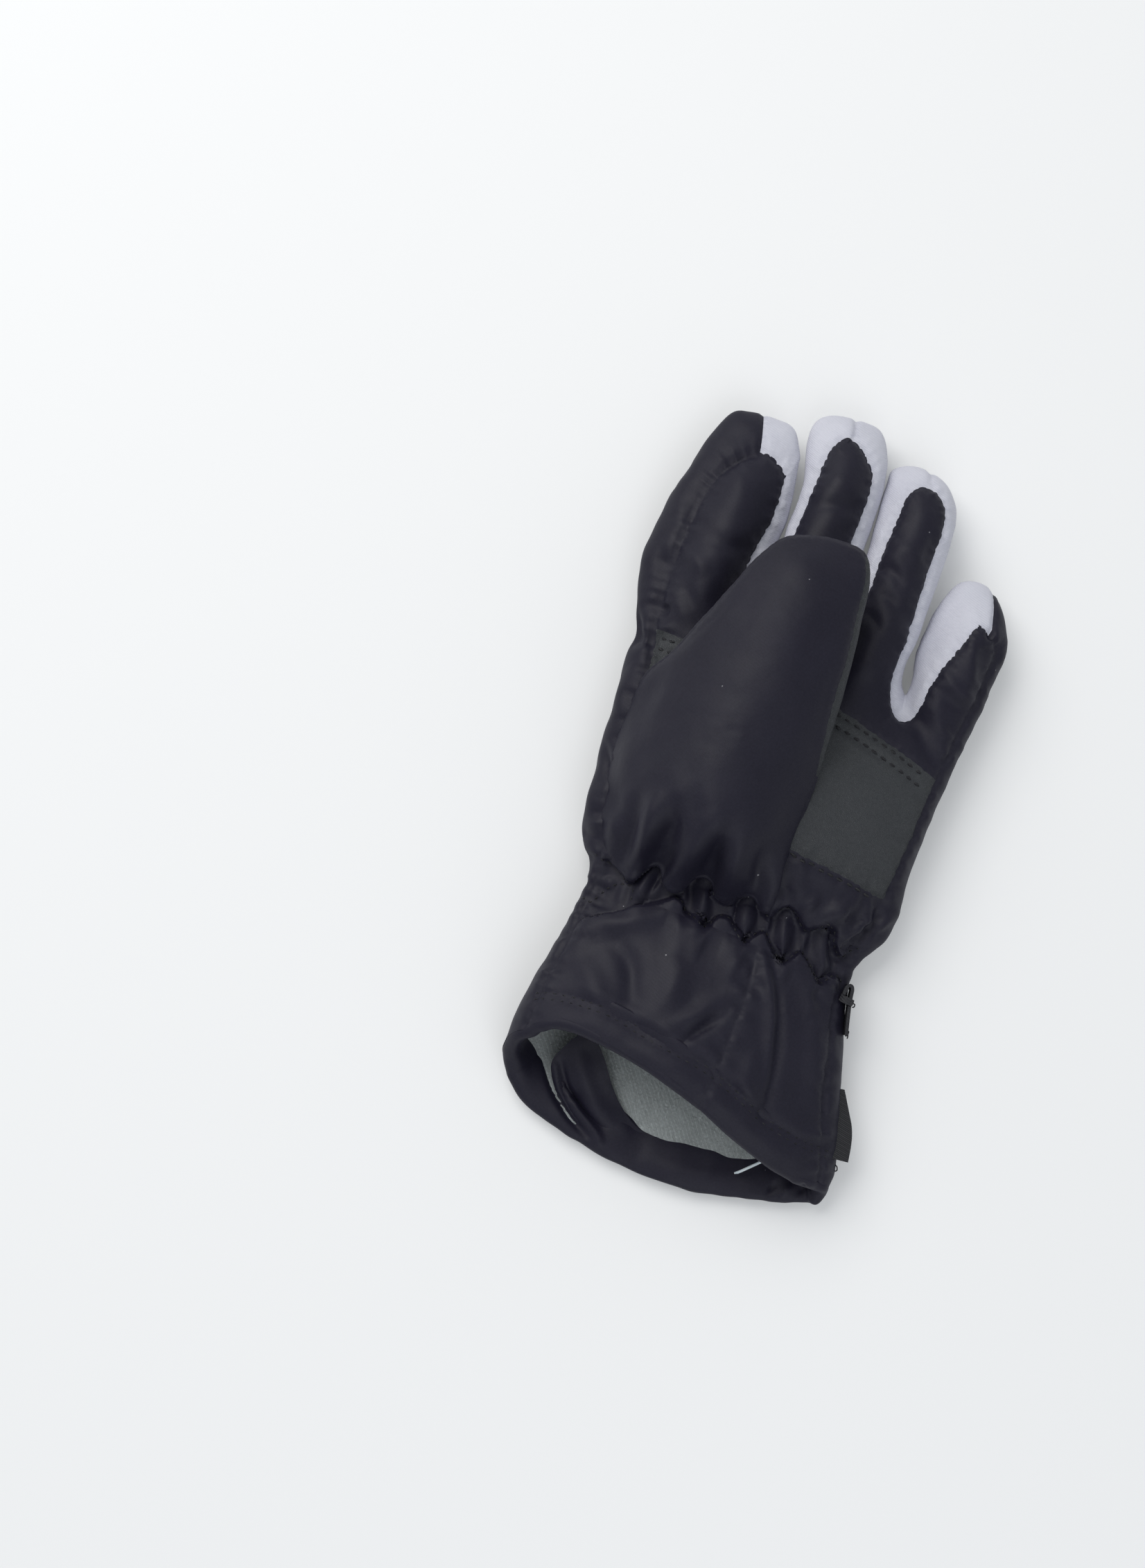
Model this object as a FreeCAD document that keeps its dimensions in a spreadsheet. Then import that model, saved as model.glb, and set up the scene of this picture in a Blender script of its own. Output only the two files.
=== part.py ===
"""Left-hand padded ski glove for a child, lying on its back with the thumb folded over the palm.

Frame, in millimetres: the origin is on the table under the middle of the wrist, +Y runs to the
fingertips, +X to the little finger, and +Z out of the palm.

The glove is a stack of fabric layers. Each layer lies between two soft closed forms ("pods"), one
inset from the other, and is then cut along its seams into the panels that are sewn together. The
fingers can bend at their middle folds and the thumb at its root, so the layers are cut there too.
"""

import FreeCAD, Part
import math
import os
import Sketcher
from FreeCAD import Vector

SIZES = [
    # fabric thicknesses
    ("skin", 0.8, "woven shell with its backing"),
    ("batting", 3.2, "wadding of the hand, fingers and thumb"),
    ("fleece", 1.2, "brushed knit lining of the hand"),
    ("cuff_fleece", 1.6, "brushed knit lining of the cuff"),
    ("hem_thickness", 3.0, "facing folded over the edge of the cuff"),
    ("elastic_thickness", 1.0, "flat elastic gathered inside the wrist"),
    ("label_thickness", 1.0, "folded woven label"),
    ("webbing_thickness", 1.2, "webbing of the side loop"),
    # how the glove lies
    ("flattening", 0.25, "depth by which the soft underside is flattened by the table"),
    ("lift_gap", 0.45, "gap between the folded thumb and the palm"),
    ("fold_gap", 0.3, "gap at each fold that bends"),
    # hand
    ("hand_half_width", 46.5, "half the width of the palm"),
    ("hand_half_height", 13.6, "half the padded thickness of the palm"),
    ("hand_corner", 12.0, "rounding of the edges of the hand"),
    ("hand_start_y", -2.0, "seam between the hand and the cuff"),
    # cuff
    ("cuff_half_width", 51.0, "half the width of the cuff at the hem"),
    ("cuff_half_height", 16.5, "half the height of the open cuff at the hem"),
    ("cuff_corner", 13.0, "rounding of the edges of the cuff"),
    ("hem_x", 7.0, "middle of the hem"),
    ("hem_back_y", -69.5, "edge of the hem at the back of the hand"),
    ("hem_rake", 34.0, "degrees by which the hem leans back on the palm side"),
    ("hem_skew", 6.0, "degrees by which the hem runs down to the little finger"),
    ("hem_band", 9.0, "width of the hem facing"),
    ("cuff_back_seam_z", 4.0, "height of the seam round the back of the cuff"),
    ("cuff_seam_x", 13.0, "seam down the palm side of the cuff"),
    # fingers
    ("finger_half_height", 11.8, "half the padded thickness of a finger"),
    ("finger_corner", 8.6, "rounding of the edges of a finger"),
    ("finger_root_y", 56.0, "start of the fingers' forms inside the palm"),
    ("straight_length", 22.0, "even stretch of a finger below its fold"),
    ("index_half_width", 15.2, "half the width of the index finger"),
    ("middle_half_width", 11.8, "half the width of the middle finger"),
    ("ring_half_width", 10.8, "half the width of the ring finger"),
    ("little_half_width", 11.0, "half the width of the little finger"),
    # thumb
    ("thumb_half_width", 26.0, "half the width of the thumb"),
    ("thumb_half_height", 11.0, "half the padded thickness of the thumb"),
    ("thumb_corner", 10.2, "rounding of the edges of the thumb"),
    ("thumb_fold_x", -14.8, "point on the fold at the thumb's root"),
    ("thumb_fold_y", 43.6, "point on the fold at the thumb's root"),
    ("thumb_fold_turn", 42.3, "degrees by which that fold runs down to the little finger"),
    ("throat_x", -24.0, "middle of the passage from the palm into the thumb"),
    ("throat_y", 27.0, "middle of the passage from the palm into the thumb"),
    ("throat_radius", 9.5, "radius of the passage from the palm into the thumb"),
    ("throat_low", 16.0, "lower end of the passage's forms"),
    ("throat_high", 36.0, "upper end of the passage's forms"),
    # seams
    ("back_seam_z", 3.0, "height of the seam round the back panel"),
    ("palm_seam_z", 13.0, "no palm-side panel reaches below this height"),
    ("palm_left_x", -45.5, "seam along the index side of the palm"),
    ("palm_right_x", 41.0, "seam along the little-finger side of the palm"),
    ("crotch_y", 70.0, "lower end of the strips between the fingers"),
    ("front_end", 5.0, "the front of a finger stops this far before its tip"),
    ("thumb_seam_z", 38.0, "height of the seam round the thumb"),
    ("patch_x", -3.0, "middle of the grip patch"),
    ("patch_low_y", 24.5, "lower edge of the grip patch"),
    ("patch_high_y", 64.8, "upper edge of the grip patch"),
    ("patch_turn", 6.0, "degrees by which the patch runs down to the little finger"),
    # wrist elastic
    ("elastic_low_y", 0.0, "lower edge of the wrist elastic"),
    ("elastic_high_y", 8.0, "upper edge of the wrist elastic"),
    # side loop and label, both sewn into the little-finger side of the cuff
    ("loop_x", 33.0, "inner end of the loop's webbing, inside the cuff's outline"),
    ("loop_y", -16.5, "lower end of the side loop"),
    ("loop_length", 13.5, "length of the side loop"),
    ("loop_reach", 9.5, "reach of the loop from its inner end"),
    ("loop_bar", 2.4, "length of the bar tack at each end of the loop"),
    ("loop_z", 12.0, "lower edge of the loop's webbing"),
    ("loop_width", 5.0, "width of the loop's webbing"),
    ("loop_turn", 14.0, "degrees by which the loop leans with the flare of the cuff"),
    ("label_x", 40.0, "inner edge of the label, inside the cuff's outline"),
    ("label_y", -48.0, "lower end of the side label"),
    ("label_length", 18.0, "length of the side label"),
    ("label_reach", 13.2, "reach of the label from its inner edge"),
    ("label_z", 15.5, "height of the side label"),
    ("label_turn", 15.0, "degrees by which the label leans with the flare of the cuff"),
    # blocks that cut the layers
    ("reach", 300.0, "more than the length of the glove"),
]

# A section of a form: its name, place along Y, middle in X, and shares of half width and height.
HAND_SECTIONS = [
    ("wrist", -4.0, -1.0, 0.82, 0.84),
    ("ball", 10.0, -1.2, 0.93, 0.95),
    ("heel", 24.0, -1.8, 0.985, 1.0),
    ("palm", 48.0, -3.0, 0.995, 1.0),
    ("knuckle", 66.0, -2.6, 1.0, 0.93),
    ("crotch", 74.0, -2.4, 0.985, 0.82),
]
CUFF_SECTIONS = [
    ("top", -1.0, -1.0, 0.747, 0.71),
    ("flare", -30.0, 1.4, 0.865, 0.88),
    ("mouth", -84.0, 7.0, 1.03, 1.06),
]
THUMB_SECTIONS = [
    ("end", 8.0, -12.5, 0.70, 0.24),
    ("base", 14.0, -13.5, 0.90, 0.48),
    ("heel", 26.0, -15.0, 1.0, 0.82),
    ("ball", 50.0, -14.8, 0.93, 1.0),
    ("upper", 76.0, -13.0, 0.80, 0.95),
    ("shoulder", 92.0, -11.8, 0.62, 0.85),
    ("nose", 102.0, -11.2, 0.44, 0.65),
    ("tip", 107.5, -11.0, 0.22, 0.36),
]
# The rounded end of every finger: name, distance behind the tip, shares of half width and height.
FINGER_END = [
    ("shoulder", 9.5, 0.93, 0.93),
    ("curve", 4.5, 0.76, 0.78),
    ("nose", 1.5, 0.54, 0.58),
    ("tip", 0.0, 0.34, 0.38),
]
# Each finger: middle in X at its root, fold and tip, share of the width at its root, its fold and
# tip along Y, its seams towards the neighbours on the left and right, and the seam over its tip.
FINGERS = {
    "index": (-37.2, -40.0, -39.2, 0.72, 108.5, 135.0, -47.5, -26.0, -37.5),
    "middle": (-10.8, -12.3, -13.1, 0.90, 112.5, 142.0, -20.0, -4.0, -14.0),
    "ring": (12.4, 11.4, 10.6, 0.92, 109.0, 136.5, 4.5, 19.0, 10.0),
    "little": (34.0, 34.4, 33.6, 0.88, 90.0, 112.7, 31.0, 42.0, 35.0),
}
FINGER_CELLS = ("root_x", "fold_x", "end_x", "root_share", "fold_y", "tip_y",
                "left_seam", "right_seam", "tip_seam")
# Middle of the gap between two neighbouring fingers.
GAPS = [("index_middle_x", -24.45), ("middle_ring_x", 0.05), ("ring_little_x", 22.8)]

# Insets of the four forms: outside, under the shell, under the wadding, and the hand's own space.
OUTER = "0"
UNDER_SKIN = "<skin>"
UNDER_BATTING = "(<skin> + <batting>)"
CAVITY = "(<skin> + <batting> + <fleece>)"

doc = FreeCAD.newDocument("glove")
sheet = doc.addObject("Spreadsheet::Sheet", "Sizes")
value = {}


# ---------------------------------------------------------------- sizes


def add_size(alias, size, words=""):
    """Puts one driving dimension into the sheet, with its alias and what it is."""
    row = len(value) + 1
    sheet.set(f"A{row}", alias)
    sheet.set(f"B{row}", str(size))
    sheet.set(f"C{row}", words)
    sheet.setAlias(f"B{row}", alias)
    value[alias] = size


def add_sections(form, sections):
    """Puts the sections of one form into the sheet."""
    for name, along, middle, wide, high in sections:
        add_size(f"{form}_{name}_y", along)
        add_size(f"{form}_{name}_x", middle)
        add_size(f"{form}_{name}_wide", wide)
        add_size(f"{form}_{name}_high", high)


for alias, size, words in SIZES:
    add_size(alias, size, words)
add_sections("hand", HAND_SECTIONS)
add_sections("cuff", CUFF_SECTIONS)
add_sections("thumb", THUMB_SECTIONS)
for name, back, wide, high in FINGER_END:
    add_size(f"{name}_back", back)
    add_size(f"{name}_wide", wide)
    add_size(f"{name}_high", high)
for finger, sizes in FINGERS.items():
    for alias, size in zip(FINGER_CELLS, sizes):
        add_size(f"{finger}_{alias}", size)
for alias, size in GAPS:
    add_size(alias, size, "middle of the gap between two fingers")
doc.recompute()


def bound(words):
    """An expression for the sheet's cells, from one that names each alias in angle brackets."""
    return words.replace("<", "Sizes.").replace(">", "")


def number(words):
    """What the same expression is worth now, to draw a sketch near its final place."""
    for alias in value:
        words = words.replace(f"<{alias}>", f"({value[alias]})")
    return FreeCAD.Units.Quantity(words).Value


# ---------------------------------------------------------------- soft forms


def section_sketch(body, name, along, box, corner):
    """A rounded rectangle across the glove, at Y = along, with box as left, right, bottom, top."""
    sketch = body.newObject("Sketcher::SketchObject", name)
    plane = [origin for origin in body.Origin.OriginFeatures if origin.Role == "XZ_Plane"][0]
    sketch.AttachmentSupport = [(plane, "")]
    sketch.MapMode = "FlatFace"
    sketch.setExpression("AttachmentOffset.Base.z", bound(f"-({along})"))
    left, right, bottom, top = [number(edge) for edge in box]
    radius = number(corner)
    ends = [
        (left + radius, bottom), (right - radius, bottom),
        (right, bottom + radius), (right, top - radius),
        (right - radius, top), (left + radius, top),
        (left, top - radius), (left, bottom + radius),
    ]
    centres = [
        (right - radius, bottom + radius), (right - radius, top - radius),
        (left + radius, top - radius), (left + radius, bottom + radius),
    ]
    quarter_turn = math.pi / 2
    for side in range(4):
        start = Vector(*ends[2 * side], 0)
        end = Vector(*ends[2 * side + 1], 0)
        sketch.addGeometry(Part.LineSegment(start, end), False)
        circle = Part.Circle(Vector(*centres[side], 0), Vector(0, 0, 1), radius)
        from_angle = quarter_turn * (side - 1)
        sketch.addGeometry(Part.ArcOfCircle(circle, from_angle, from_angle + quarter_turn), False)
    for side in range(4):
        line, arc, next_line = 2 * side, 2 * side + 1, (2 * side + 2) % 8
        sketch.addConstraint(Sketcher.Constraint("Tangent", line, 2, arc, 1))
        sketch.addConstraint(Sketcher.Constraint("Tangent", arc, 2, next_line, 1))
    for side in (1, 2, 3):
        sketch.addConstraint(Sketcher.Constraint("Equal", 1, 2 * side + 1))
    sketch.addConstraint(Sketcher.Constraint("Horizontal", 0))
    sketch.addConstraint(Sketcher.Constraint("Vertical", 2))
    edges = [
        ("left", "DistanceX", 6, left), ("right", "DistanceX", 2, right),
        ("bottom", "DistanceY", 0, bottom), ("top", "DistanceY", 4, top),
    ]
    for edge, (label, kind, line, place) in zip(box, edges):
        index = sketch.addConstraint(Sketcher.Constraint(kind, -1, 1, line, 1, place))
        sketch.renameConstraint(index, label)
        sketch.setExpression(f"Constraints.{label}", bound(edge))
    index = sketch.addConstraint(Sketcher.Constraint("Radius", 1, radius))
    sketch.renameConstraint(index, "corner")
    sketch.setExpression("Constraints.corner", bound(corner))
    return sketch


def pod(name, sections):
    """A closed form lofted through its sections, each with its place along Y, box and corner."""
    body = doc.addObject("PartDesign::Body", name)
    sketches = []
    for along, box, corner in sections:
        sketches.append(section_sketch(body, f"{name}_section", along, box, corner))
    doc.recompute()
    loft = body.newObject("PartDesign::AdditiveLoft", f"{name}_loft")
    loft.Profile = sketches[0]
    loft.Sections = sketches[1:]
    loft.Ruled = True
    return body


def flat_pod(name, form, sections, foot, inset, closed_start, closed_end):
    """The hand's, cuff's or thumb's form at an inset. Its underside is straight, at height foot.

    closed_start and closed_end list the sections that move inwards with the inset.
    """
    width, height = f"<{form}_half_width>", f"<{form}_half_height>"
    rows = []
    for section, _, _, wide_share, high_share in sections:
        stem = f"{form}_{section}"
        half = f"<{stem}_wide> * ({width} - {inset})"
        up = f"<{stem}_high> * ({height} - {inset})"
        middle = f"({foot} + <{stem}_high> * {height})"
        box = (f"<{stem}_x> - {half}", f"<{stem}_x> + {half}", f"{middle} - {up}", f"{middle} + {up}")
        smaller = "wide" if wide_share < high_share else "high"
        along = f"<{stem}_y>"
        if section in closed_start:
            along += f" + {inset}"
        if section in closed_end:
            along += f" - {inset}"
        rows.append((along, box, f"<{stem}_{smaller}> * (<{form}_corner> - {inset})"))
    return pod(name, rows)


def finger_pod(name, finger, inset):
    """One finger's form at an inset, from inside the palm to its tip."""
    full_half = f"(<{finger}_half_width> - {inset})"
    full_up = f"(<finger_half_height> - {inset})"
    full_corner = f"(<finger_corner> - {inset})"
    middle = "(<finger_half_height> - <flattening>)"
    root, fold = f"<{finger}_root_share>", f"<{finger}_fold_y>"
    stations = [
        ("<finger_root_y>", f"<{finger}_root_x>", root, root),
        (f"{fold} - <straight_length>", f"<{finger}_fold_x>", "1", "1"),
        (fold, f"<{finger}_fold_x>", "1", "1"),
    ]
    for end, _, _, _ in FINGER_END:
        along = f"<{finger}_tip_y> - <{end}_back> - {inset}"
        stations.append((along, f"<{finger}_end_x>", f"<{end}_wide>", f"<{end}_high>"))
    rows = []
    for along, centre, wide, high in stations:
        half, up = f"{wide} * {full_half}", f"{high} * {full_up}"
        box = (f"{centre} - {half}", f"{centre} + {half}", f"{middle} - {up}", f"{middle} + {up}")
        rows.append((along, box, f"{wide} * {full_corner}"))
    return pod(name, rows)


def throat(name, inset):
    """The short passage from the palm up into the thumb, at an inset."""
    tube = doc.addObject("Part::Cylinder", name)
    outer = "<throat_radius> + <skin> + <batting> + <fleece>"
    tube.setExpression("Radius", bound(f"{outer} - {inset}"))
    tube.setExpression("Height", bound("<throat_high> - <throat_low>"))
    tube.setExpression("Placement.Base.x", bound("<throat_x>"))
    tube.setExpression("Placement.Base.y", bound("<throat_y>"))
    tube.setExpression("Placement.Base.z", bound("<throat_low>"))
    return tube


# ---------------------------------------------------------------- cutting and joining


def block(name, across, along, upward, turn="0", lean="0"):
    """A block between pairs of expressions for X, Y and Z.

    With a turn about Z, and then a lean about its own X axis, the first of each pair is the
    pivot's place, and the second is a pair of the reaches before and after it.
    """
    box = doc.addObject("Part::Box", name)
    spans = (across, along, upward)
    if turn == "0" and lean == "0":
        for size, place, (low, high) in zip(("Length", "Width", "Height"), "xyz", spans):
            box.setExpression(size, bound(f"({high}) - ({low})"))
            box.setExpression(f"Placement.Base.{place}", bound(low))
        return box
    for size, (_, (before, after)) in zip(("Length", "Width", "Height"), spans):
        box.setExpression(size, bound(f"({before}) + ({after})"))
    pivot = "; ".join(place for place, _ in spans)
    corner = "; ".join(f"-({before})" for _, (before, _) in spans)
    turned = f"rotation(vector(0; 0; 1); -({turn})) * rotation(vector(1; 0; 0); {lean})"
    unturned = "rotation(vector(0; 0; 1); 0)"
    words = f"placement(vector({pivot}); {turned}) * placement(vector({corner}); {unturned})"
    box.setExpression("Placement", bound(words))
    return box


def fused(name, shapes):
    """One form from several that run into each other."""
    fusion = doc.addObject("Part::MultiFuse", name)
    fusion.Shapes = shapes
    fusion.Refine = False
    return fusion


def without(name, base, tool):
    """base with tool taken away."""
    rest = doc.addObject("Part::Cut", name)
    rest.Base = base
    rest.Tool = tool
    rest.Refine = False
    return rest


def shared(name, *shapes):
    """What all the shapes share."""
    common = doc.addObject("Part::MultiCommon", name)
    common.Shapes = list(shapes)
    common.Refine = False
    return common


node_objects = {}


def node(name, made):
    """Names a finished piece."""
    made.Label = name
    node_objects[name] = made
    return made


FAR_LOW, FAR_HIGH = "-<reach>", "<reach>"
EVERYWHERE = (FAR_LOW, FAR_HIGH)

# ---------------------------------------------------------------- layers of hand, fingers, thumb

above_table = block("above_table", EVERYWHERE, EVERYWHERE, ("0", FAR_HIGH))
FOOT = "(0 - <flattening>)"
THUMB_FOOT = "(2 * <hand_half_height> - <flattening> + <lift_gap>)"


def glove_form(name, inset):
    """The whole glove above the wrist at an inset: palm, four fingers, thumb and its passage."""
    palm = flat_pod(f"{name}_palm", "hand", HAND_SECTIONS, FOOT, inset, (), ("crotch",))
    root, tip = ("end", "base"), ("shoulder", "nose", "tip")
    thumb = flat_pod(f"{name}_thumb", "thumb", THUMB_SECTIONS, THUMB_FOOT, inset, root, tip)
    fingers = [finger_pod(f"{name}_{finger}", finger, inset) for finger in FINGERS]
    whole = fused(f"{name}_whole", [palm, *fingers, thumb, throat(f"{name}_throat", inset)])
    return shared(name, whole, above_table)


outer_form = glove_form("outer_form", OUTER)
under_skin = glove_form("under_skin", UNDER_SKIN)
under_batting = glove_form("under_batting", UNDER_BATTING)
cavity = glove_form("cavity", CAVITY)
shell_layer = without("shell_layer", outer_form, under_skin)
batting_layer = without("batting_layer", under_skin, under_batting)
lining_layer = without("lining_layer", under_batting, cavity)

# The folds. Each fingertip lies beyond its fold, and the hand's side stops just before it.
finger_edges = [FAR_LOW, "<index_middle_x>", "<middle_ring_x>", "<ring_little_x>", FAR_HIGH]
finger_spans = dict(zip(FINGERS, zip(finger_edges, finger_edges[1:])))
UNDER_THUMB = "(2 * <hand_half_height> - <flattening> + <lift_gap> / 2)"
below_thumb = (FAR_LOW, UNDER_THUMB)
over_palm = (UNDER_THUMB, FAR_HIGH)
tip_blocks, fold_blocks = {}, []
for finger, span in finger_spans.items():
    past_fold = (f"<{finger}_fold_y> + <fold_gap> / 2", FAR_HIGH)
    from_fold = (f"<{finger}_fold_y> - <fold_gap> / 2", FAR_HIGH)
    tip_blocks[finger] = block(f"{finger}_tip_block", span, past_fold, below_thumb)
    fold_blocks.append(block(f"{finger}_fold_block", span, from_fold, below_thumb))


def beyond_thumb_fold(name, start):
    """The space over the palm on the tip's side of the thumb's fold, from start past the fold."""
    return block(
        name,
        ("<thumb_fold_x>", ("<reach>", "<reach>")),
        ("<thumb_fold_y>", (f"-({start})", "<reach>")),
        (UNDER_THUMB, ("0", "<reach>")),
        turn="<thumb_fold_turn>",
    )


thumb_block = beyond_thumb_fold("thumb_block", "<fold_gap> / 2")
fold_blocks.append(beyond_thumb_fold("thumb_fold_block", "-<fold_gap> / 2"))
below_wrist = block("below_wrist", EVERYWHERE, (FAR_LOW, "<hand_start_y>"), EVERYWHERE)
not_hand = fused("not_hand", [*fold_blocks, below_wrist])

palm_region = block("palm_region", EVERYWHERE, EVERYWHERE, below_thumb)
thumb_region = block("thumb_region", EVERYWHERE, EVERYWHERE, over_palm)

# ---------------------------------------------------------------- shell panels of the hand

hand_shell = without("hand_shell", shell_layer, not_hand)
palm_shell = shared("palm_shell", hand_shell, palm_region)
back_block = block("back_block", EVERYWHERE, EVERYWHERE, (FAR_LOW, "<back_seam_z>"))
node("back_panel", shared("back_panel", palm_shell, back_block))

front_height = ("<palm_seam_z>", FAR_HIGH)
fronts = [block("palm_block", ("<palm_left_x>", "<palm_right_x>"), (FAR_LOW, "<crotch_y>"), front_height)]
for finger in FINGERS:
    span = (f"<{finger}_left_seam>", f"<{finger}_right_seam>")
    along = ("<crotch_y>", f"<{finger}_tip_y> - <front_end>")
    fronts.append(block(f"{finger}_front_block", span, along, front_height))
front_region = fused("front_region", fronts)
palm_front = shared("palm_front", palm_shell, front_region)
patch_span = ("<patch_x>", ("<reach>", "<reach>"))
patch_height = ("0", ("0", "<reach>"))
above_patch = block(
    "above_patch", patch_span, ("<patch_high_y>", ("0", "<reach>")), patch_height, turn="<patch_turn>"
)
below_patch = block(
    "below_patch", patch_span, ("<patch_low_y>", ("<reach>", "0")), patch_height, turn="<patch_turn>"
)
node("palm_upper_panel", shared("palm_upper_panel", palm_front, above_patch))
node("palm_lower_panel", shared("palm_lower_panel", palm_front, below_patch))
around_patch = fused("around_patch", [above_patch, below_patch])
node("palm_patch", without("palm_patch", palm_front, around_patch))

not_side = fused("not_side", [front_region, back_block])
side_shell = without("side_shell", palm_shell, not_side)
below_crotches = (FAR_LOW, "<crotch_y>")
beside_fingers = ("<crotch_y>", FAR_HIGH)
outer_strips = {
    "index_side_strip": ((FAR_LOW, "<patch_x>"), (FAR_LOW, "<index_fold_x>")),
    "little_side_strip": (("<patch_x>", FAR_HIGH), ("<little_fold_x>", FAR_HIGH)),
}
for name, (palm_half, finger_half) in outer_strips.items():
    lower = block(f"{name}_lower", palm_half, below_crotches, EVERYWHERE)
    upper = block(f"{name}_upper", finger_half, beside_fingers, EVERYWHERE)
    node(name, shared(name, side_shell, fused(f"{name}_region", [lower, upper])))
neighbours = list(FINGERS)
for left, right in zip(neighbours, neighbours[1:]):
    name = f"fourchette_{left}_{right}"
    between = (f"<{left}_fold_x>", f"<{right}_fold_x>")
    node(name, shared(name, side_shell, block(f"{name}_block", between, beside_fingers, EVERYWHERE)))

# ---------------------------------------------------------------- wadding and lining of the hand

elastic_inset = "(<skin> + <elastic_thickness>)"
elastic_outside = flat_pod("elastic_outside", "hand", HAND_SECTIONS, FOOT, UNDER_SKIN, (), ("crotch",))
elastic_inside = flat_pod("elastic_inside", "hand", HAND_SECTIONS, FOOT, elastic_inset, (), ("crotch",))
elastic_ring = without("elastic_ring", elastic_outside, elastic_inside)
elastic_block = block("elastic_block", EVERYWHERE, ("<elastic_low_y>", "<elastic_high_y>"), ("0", FAR_HIGH))
node("wrist_elastic", shared("wrist_elastic", elastic_ring, elastic_block))

hand_batting = without("hand_batting", batting_layer, not_hand)
palm_batting = shared("palm_batting", hand_batting, palm_region)
node("hand_insulation", without("hand_insulation", palm_batting, node_objects["wrist_elastic"]))
hand_lining_layer = without("hand_lining_layer", lining_layer, not_hand)
node("hand_lining", shared("hand_lining", hand_lining_layer, palm_region))

# ---------------------------------------------------------------- fingertips

layers = {"insulation": batting_layer, "lining": lining_layer}
for finger, tip_block in tip_blocks.items():
    tip_shell = shared(f"{finger}_tip_shell", shell_layer, tip_block)
    node(f"{finger}_tip_back", shared(f"{finger}_tip_back", tip_shell, back_block))
    front_block = fronts[1 + list(FINGERS).index(finger)]
    node(f"{finger}_tip_front", shared(f"{finger}_tip_front", tip_shell, front_block))
    not_tip_side = fused(f"{finger}_not_side", [front_block, back_block])
    tip_side = without(f"{finger}_tip_side", tip_shell, not_tip_side)
    seam = f"<{finger}_tip_seam>"
    left_block = block(f"{finger}_left_block", (FAR_LOW, seam), EVERYWHERE, EVERYWHERE)
    right_block = block(f"{finger}_right_block", (seam, FAR_HIGH), EVERYWHERE, EVERYWHERE)
    node(f"{finger}_tip_left_side", shared(f"{finger}_tip_left_side", tip_side, left_block))
    node(f"{finger}_tip_right_side", shared(f"{finger}_tip_right_side", tip_side, right_block))
    for layer, whole in layers.items():
        node(f"{finger}_tip_{layer}", shared(f"{finger}_tip_{layer}", whole, tip_block))

# ---------------------------------------------------------------- thumb

node("thumb_base_panel", shared("thumb_base_panel", hand_shell, thumb_region))
node("thumb_base_insulation", shared("thumb_base_insulation", hand_batting, thumb_region))
node("thumb_base_lining", shared("thumb_base_lining", hand_lining_layer, thumb_region))
thumb_shell = shared("thumb_shell", shell_layer, thumb_block)
over_seam = block("over_seam", EVERYWHERE, EVERYWHERE, ("<thumb_seam_z>", FAR_HIGH))
under_seam = block("under_seam", EVERYWHERE, EVERYWHERE, (FAR_LOW, "<thumb_seam_z>"))
node("thumb_front_panel", shared("thumb_front_panel", thumb_shell, over_seam))
node("thumb_back_panel", shared("thumb_back_panel", thumb_shell, under_seam))
for layer, whole in layers.items():
    node(f"thumb_{layer}", shared(f"thumb_{layer}", whole, thumb_block))

# ---------------------------------------------------------------- cuff


def cuff_form(name, inset):
    """The cuff at an inset, standing on the table."""
    form = flat_pod(f"{name}_pod", "cuff", CUFF_SECTIONS, FOOT, inset, (), ())
    return shared(name, form, above_table)


def towards_fingers(name, start):
    """The space on the fingers' side of the hem's plane, from start inside its edge."""
    return block(
        name,
        ("<hem_x>", ("<reach>", "<reach>")),
        ("<hem_back_y>", (f"-({start})", "<reach>")),
        ("0", ("<reach>", "<reach>")),
        turn="<hem_skew>",
        lean="-<hem_rake>",
    )


cuff_outside = cuff_form("cuff_outside", OUTER)
cuff_under_skin = cuff_form("cuff_under_skin", UNDER_SKIN)
cuff_inside = cuff_form("cuff_inside", "(<skin> + <cuff_fleece>)")
hem_inside = cuff_form("hem_inside", "<hem_thickness>")
in_hem = towards_fingers("in_hem", "0")
past_band = towards_fingers("past_band", "<hem_band>")
above_wrist = block("above_wrist", EVERYWHERE, ("<hand_start_y>", FAR_HIGH), EVERYWHERE)
cuff_region = without("cuff_region", past_band, above_wrist)
hem_region = without("hem_region", in_hem, past_band)

cuff_shell_layer = without("cuff_shell_layer", cuff_outside, cuff_under_skin)
cuff_shell = shared("cuff_shell", cuff_shell_layer, cuff_region)
cuff_back_block = block("cuff_back_block", EVERYWHERE, EVERYWHERE, (FAR_LOW, "<cuff_back_seam_z>"))
node("cuff_back_panel", shared("cuff_back_panel", cuff_shell, cuff_back_block))
cuff_front = without("cuff_front", cuff_shell, cuff_back_block)
left_of_seam = block("left_of_seam", (FAR_LOW, "<cuff_seam_x>"), EVERYWHERE, EVERYWHERE)
node("cuff_front_left_panel", shared("cuff_front_left_panel", cuff_front, left_of_seam))
node("cuff_front_right_panel", without("cuff_front_right_panel", cuff_front, left_of_seam))
cuff_lining_layer = without("cuff_lining_layer", cuff_under_skin, cuff_inside)
node("cuff_lining", shared("cuff_lining", cuff_lining_layer, cuff_region))
hem_layer = without("hem_layer", cuff_outside, hem_inside)
node("hem_facing", shared("hem_facing", hem_layer, hem_region))

# ---------------------------------------------------------------- side loop and side label

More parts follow.
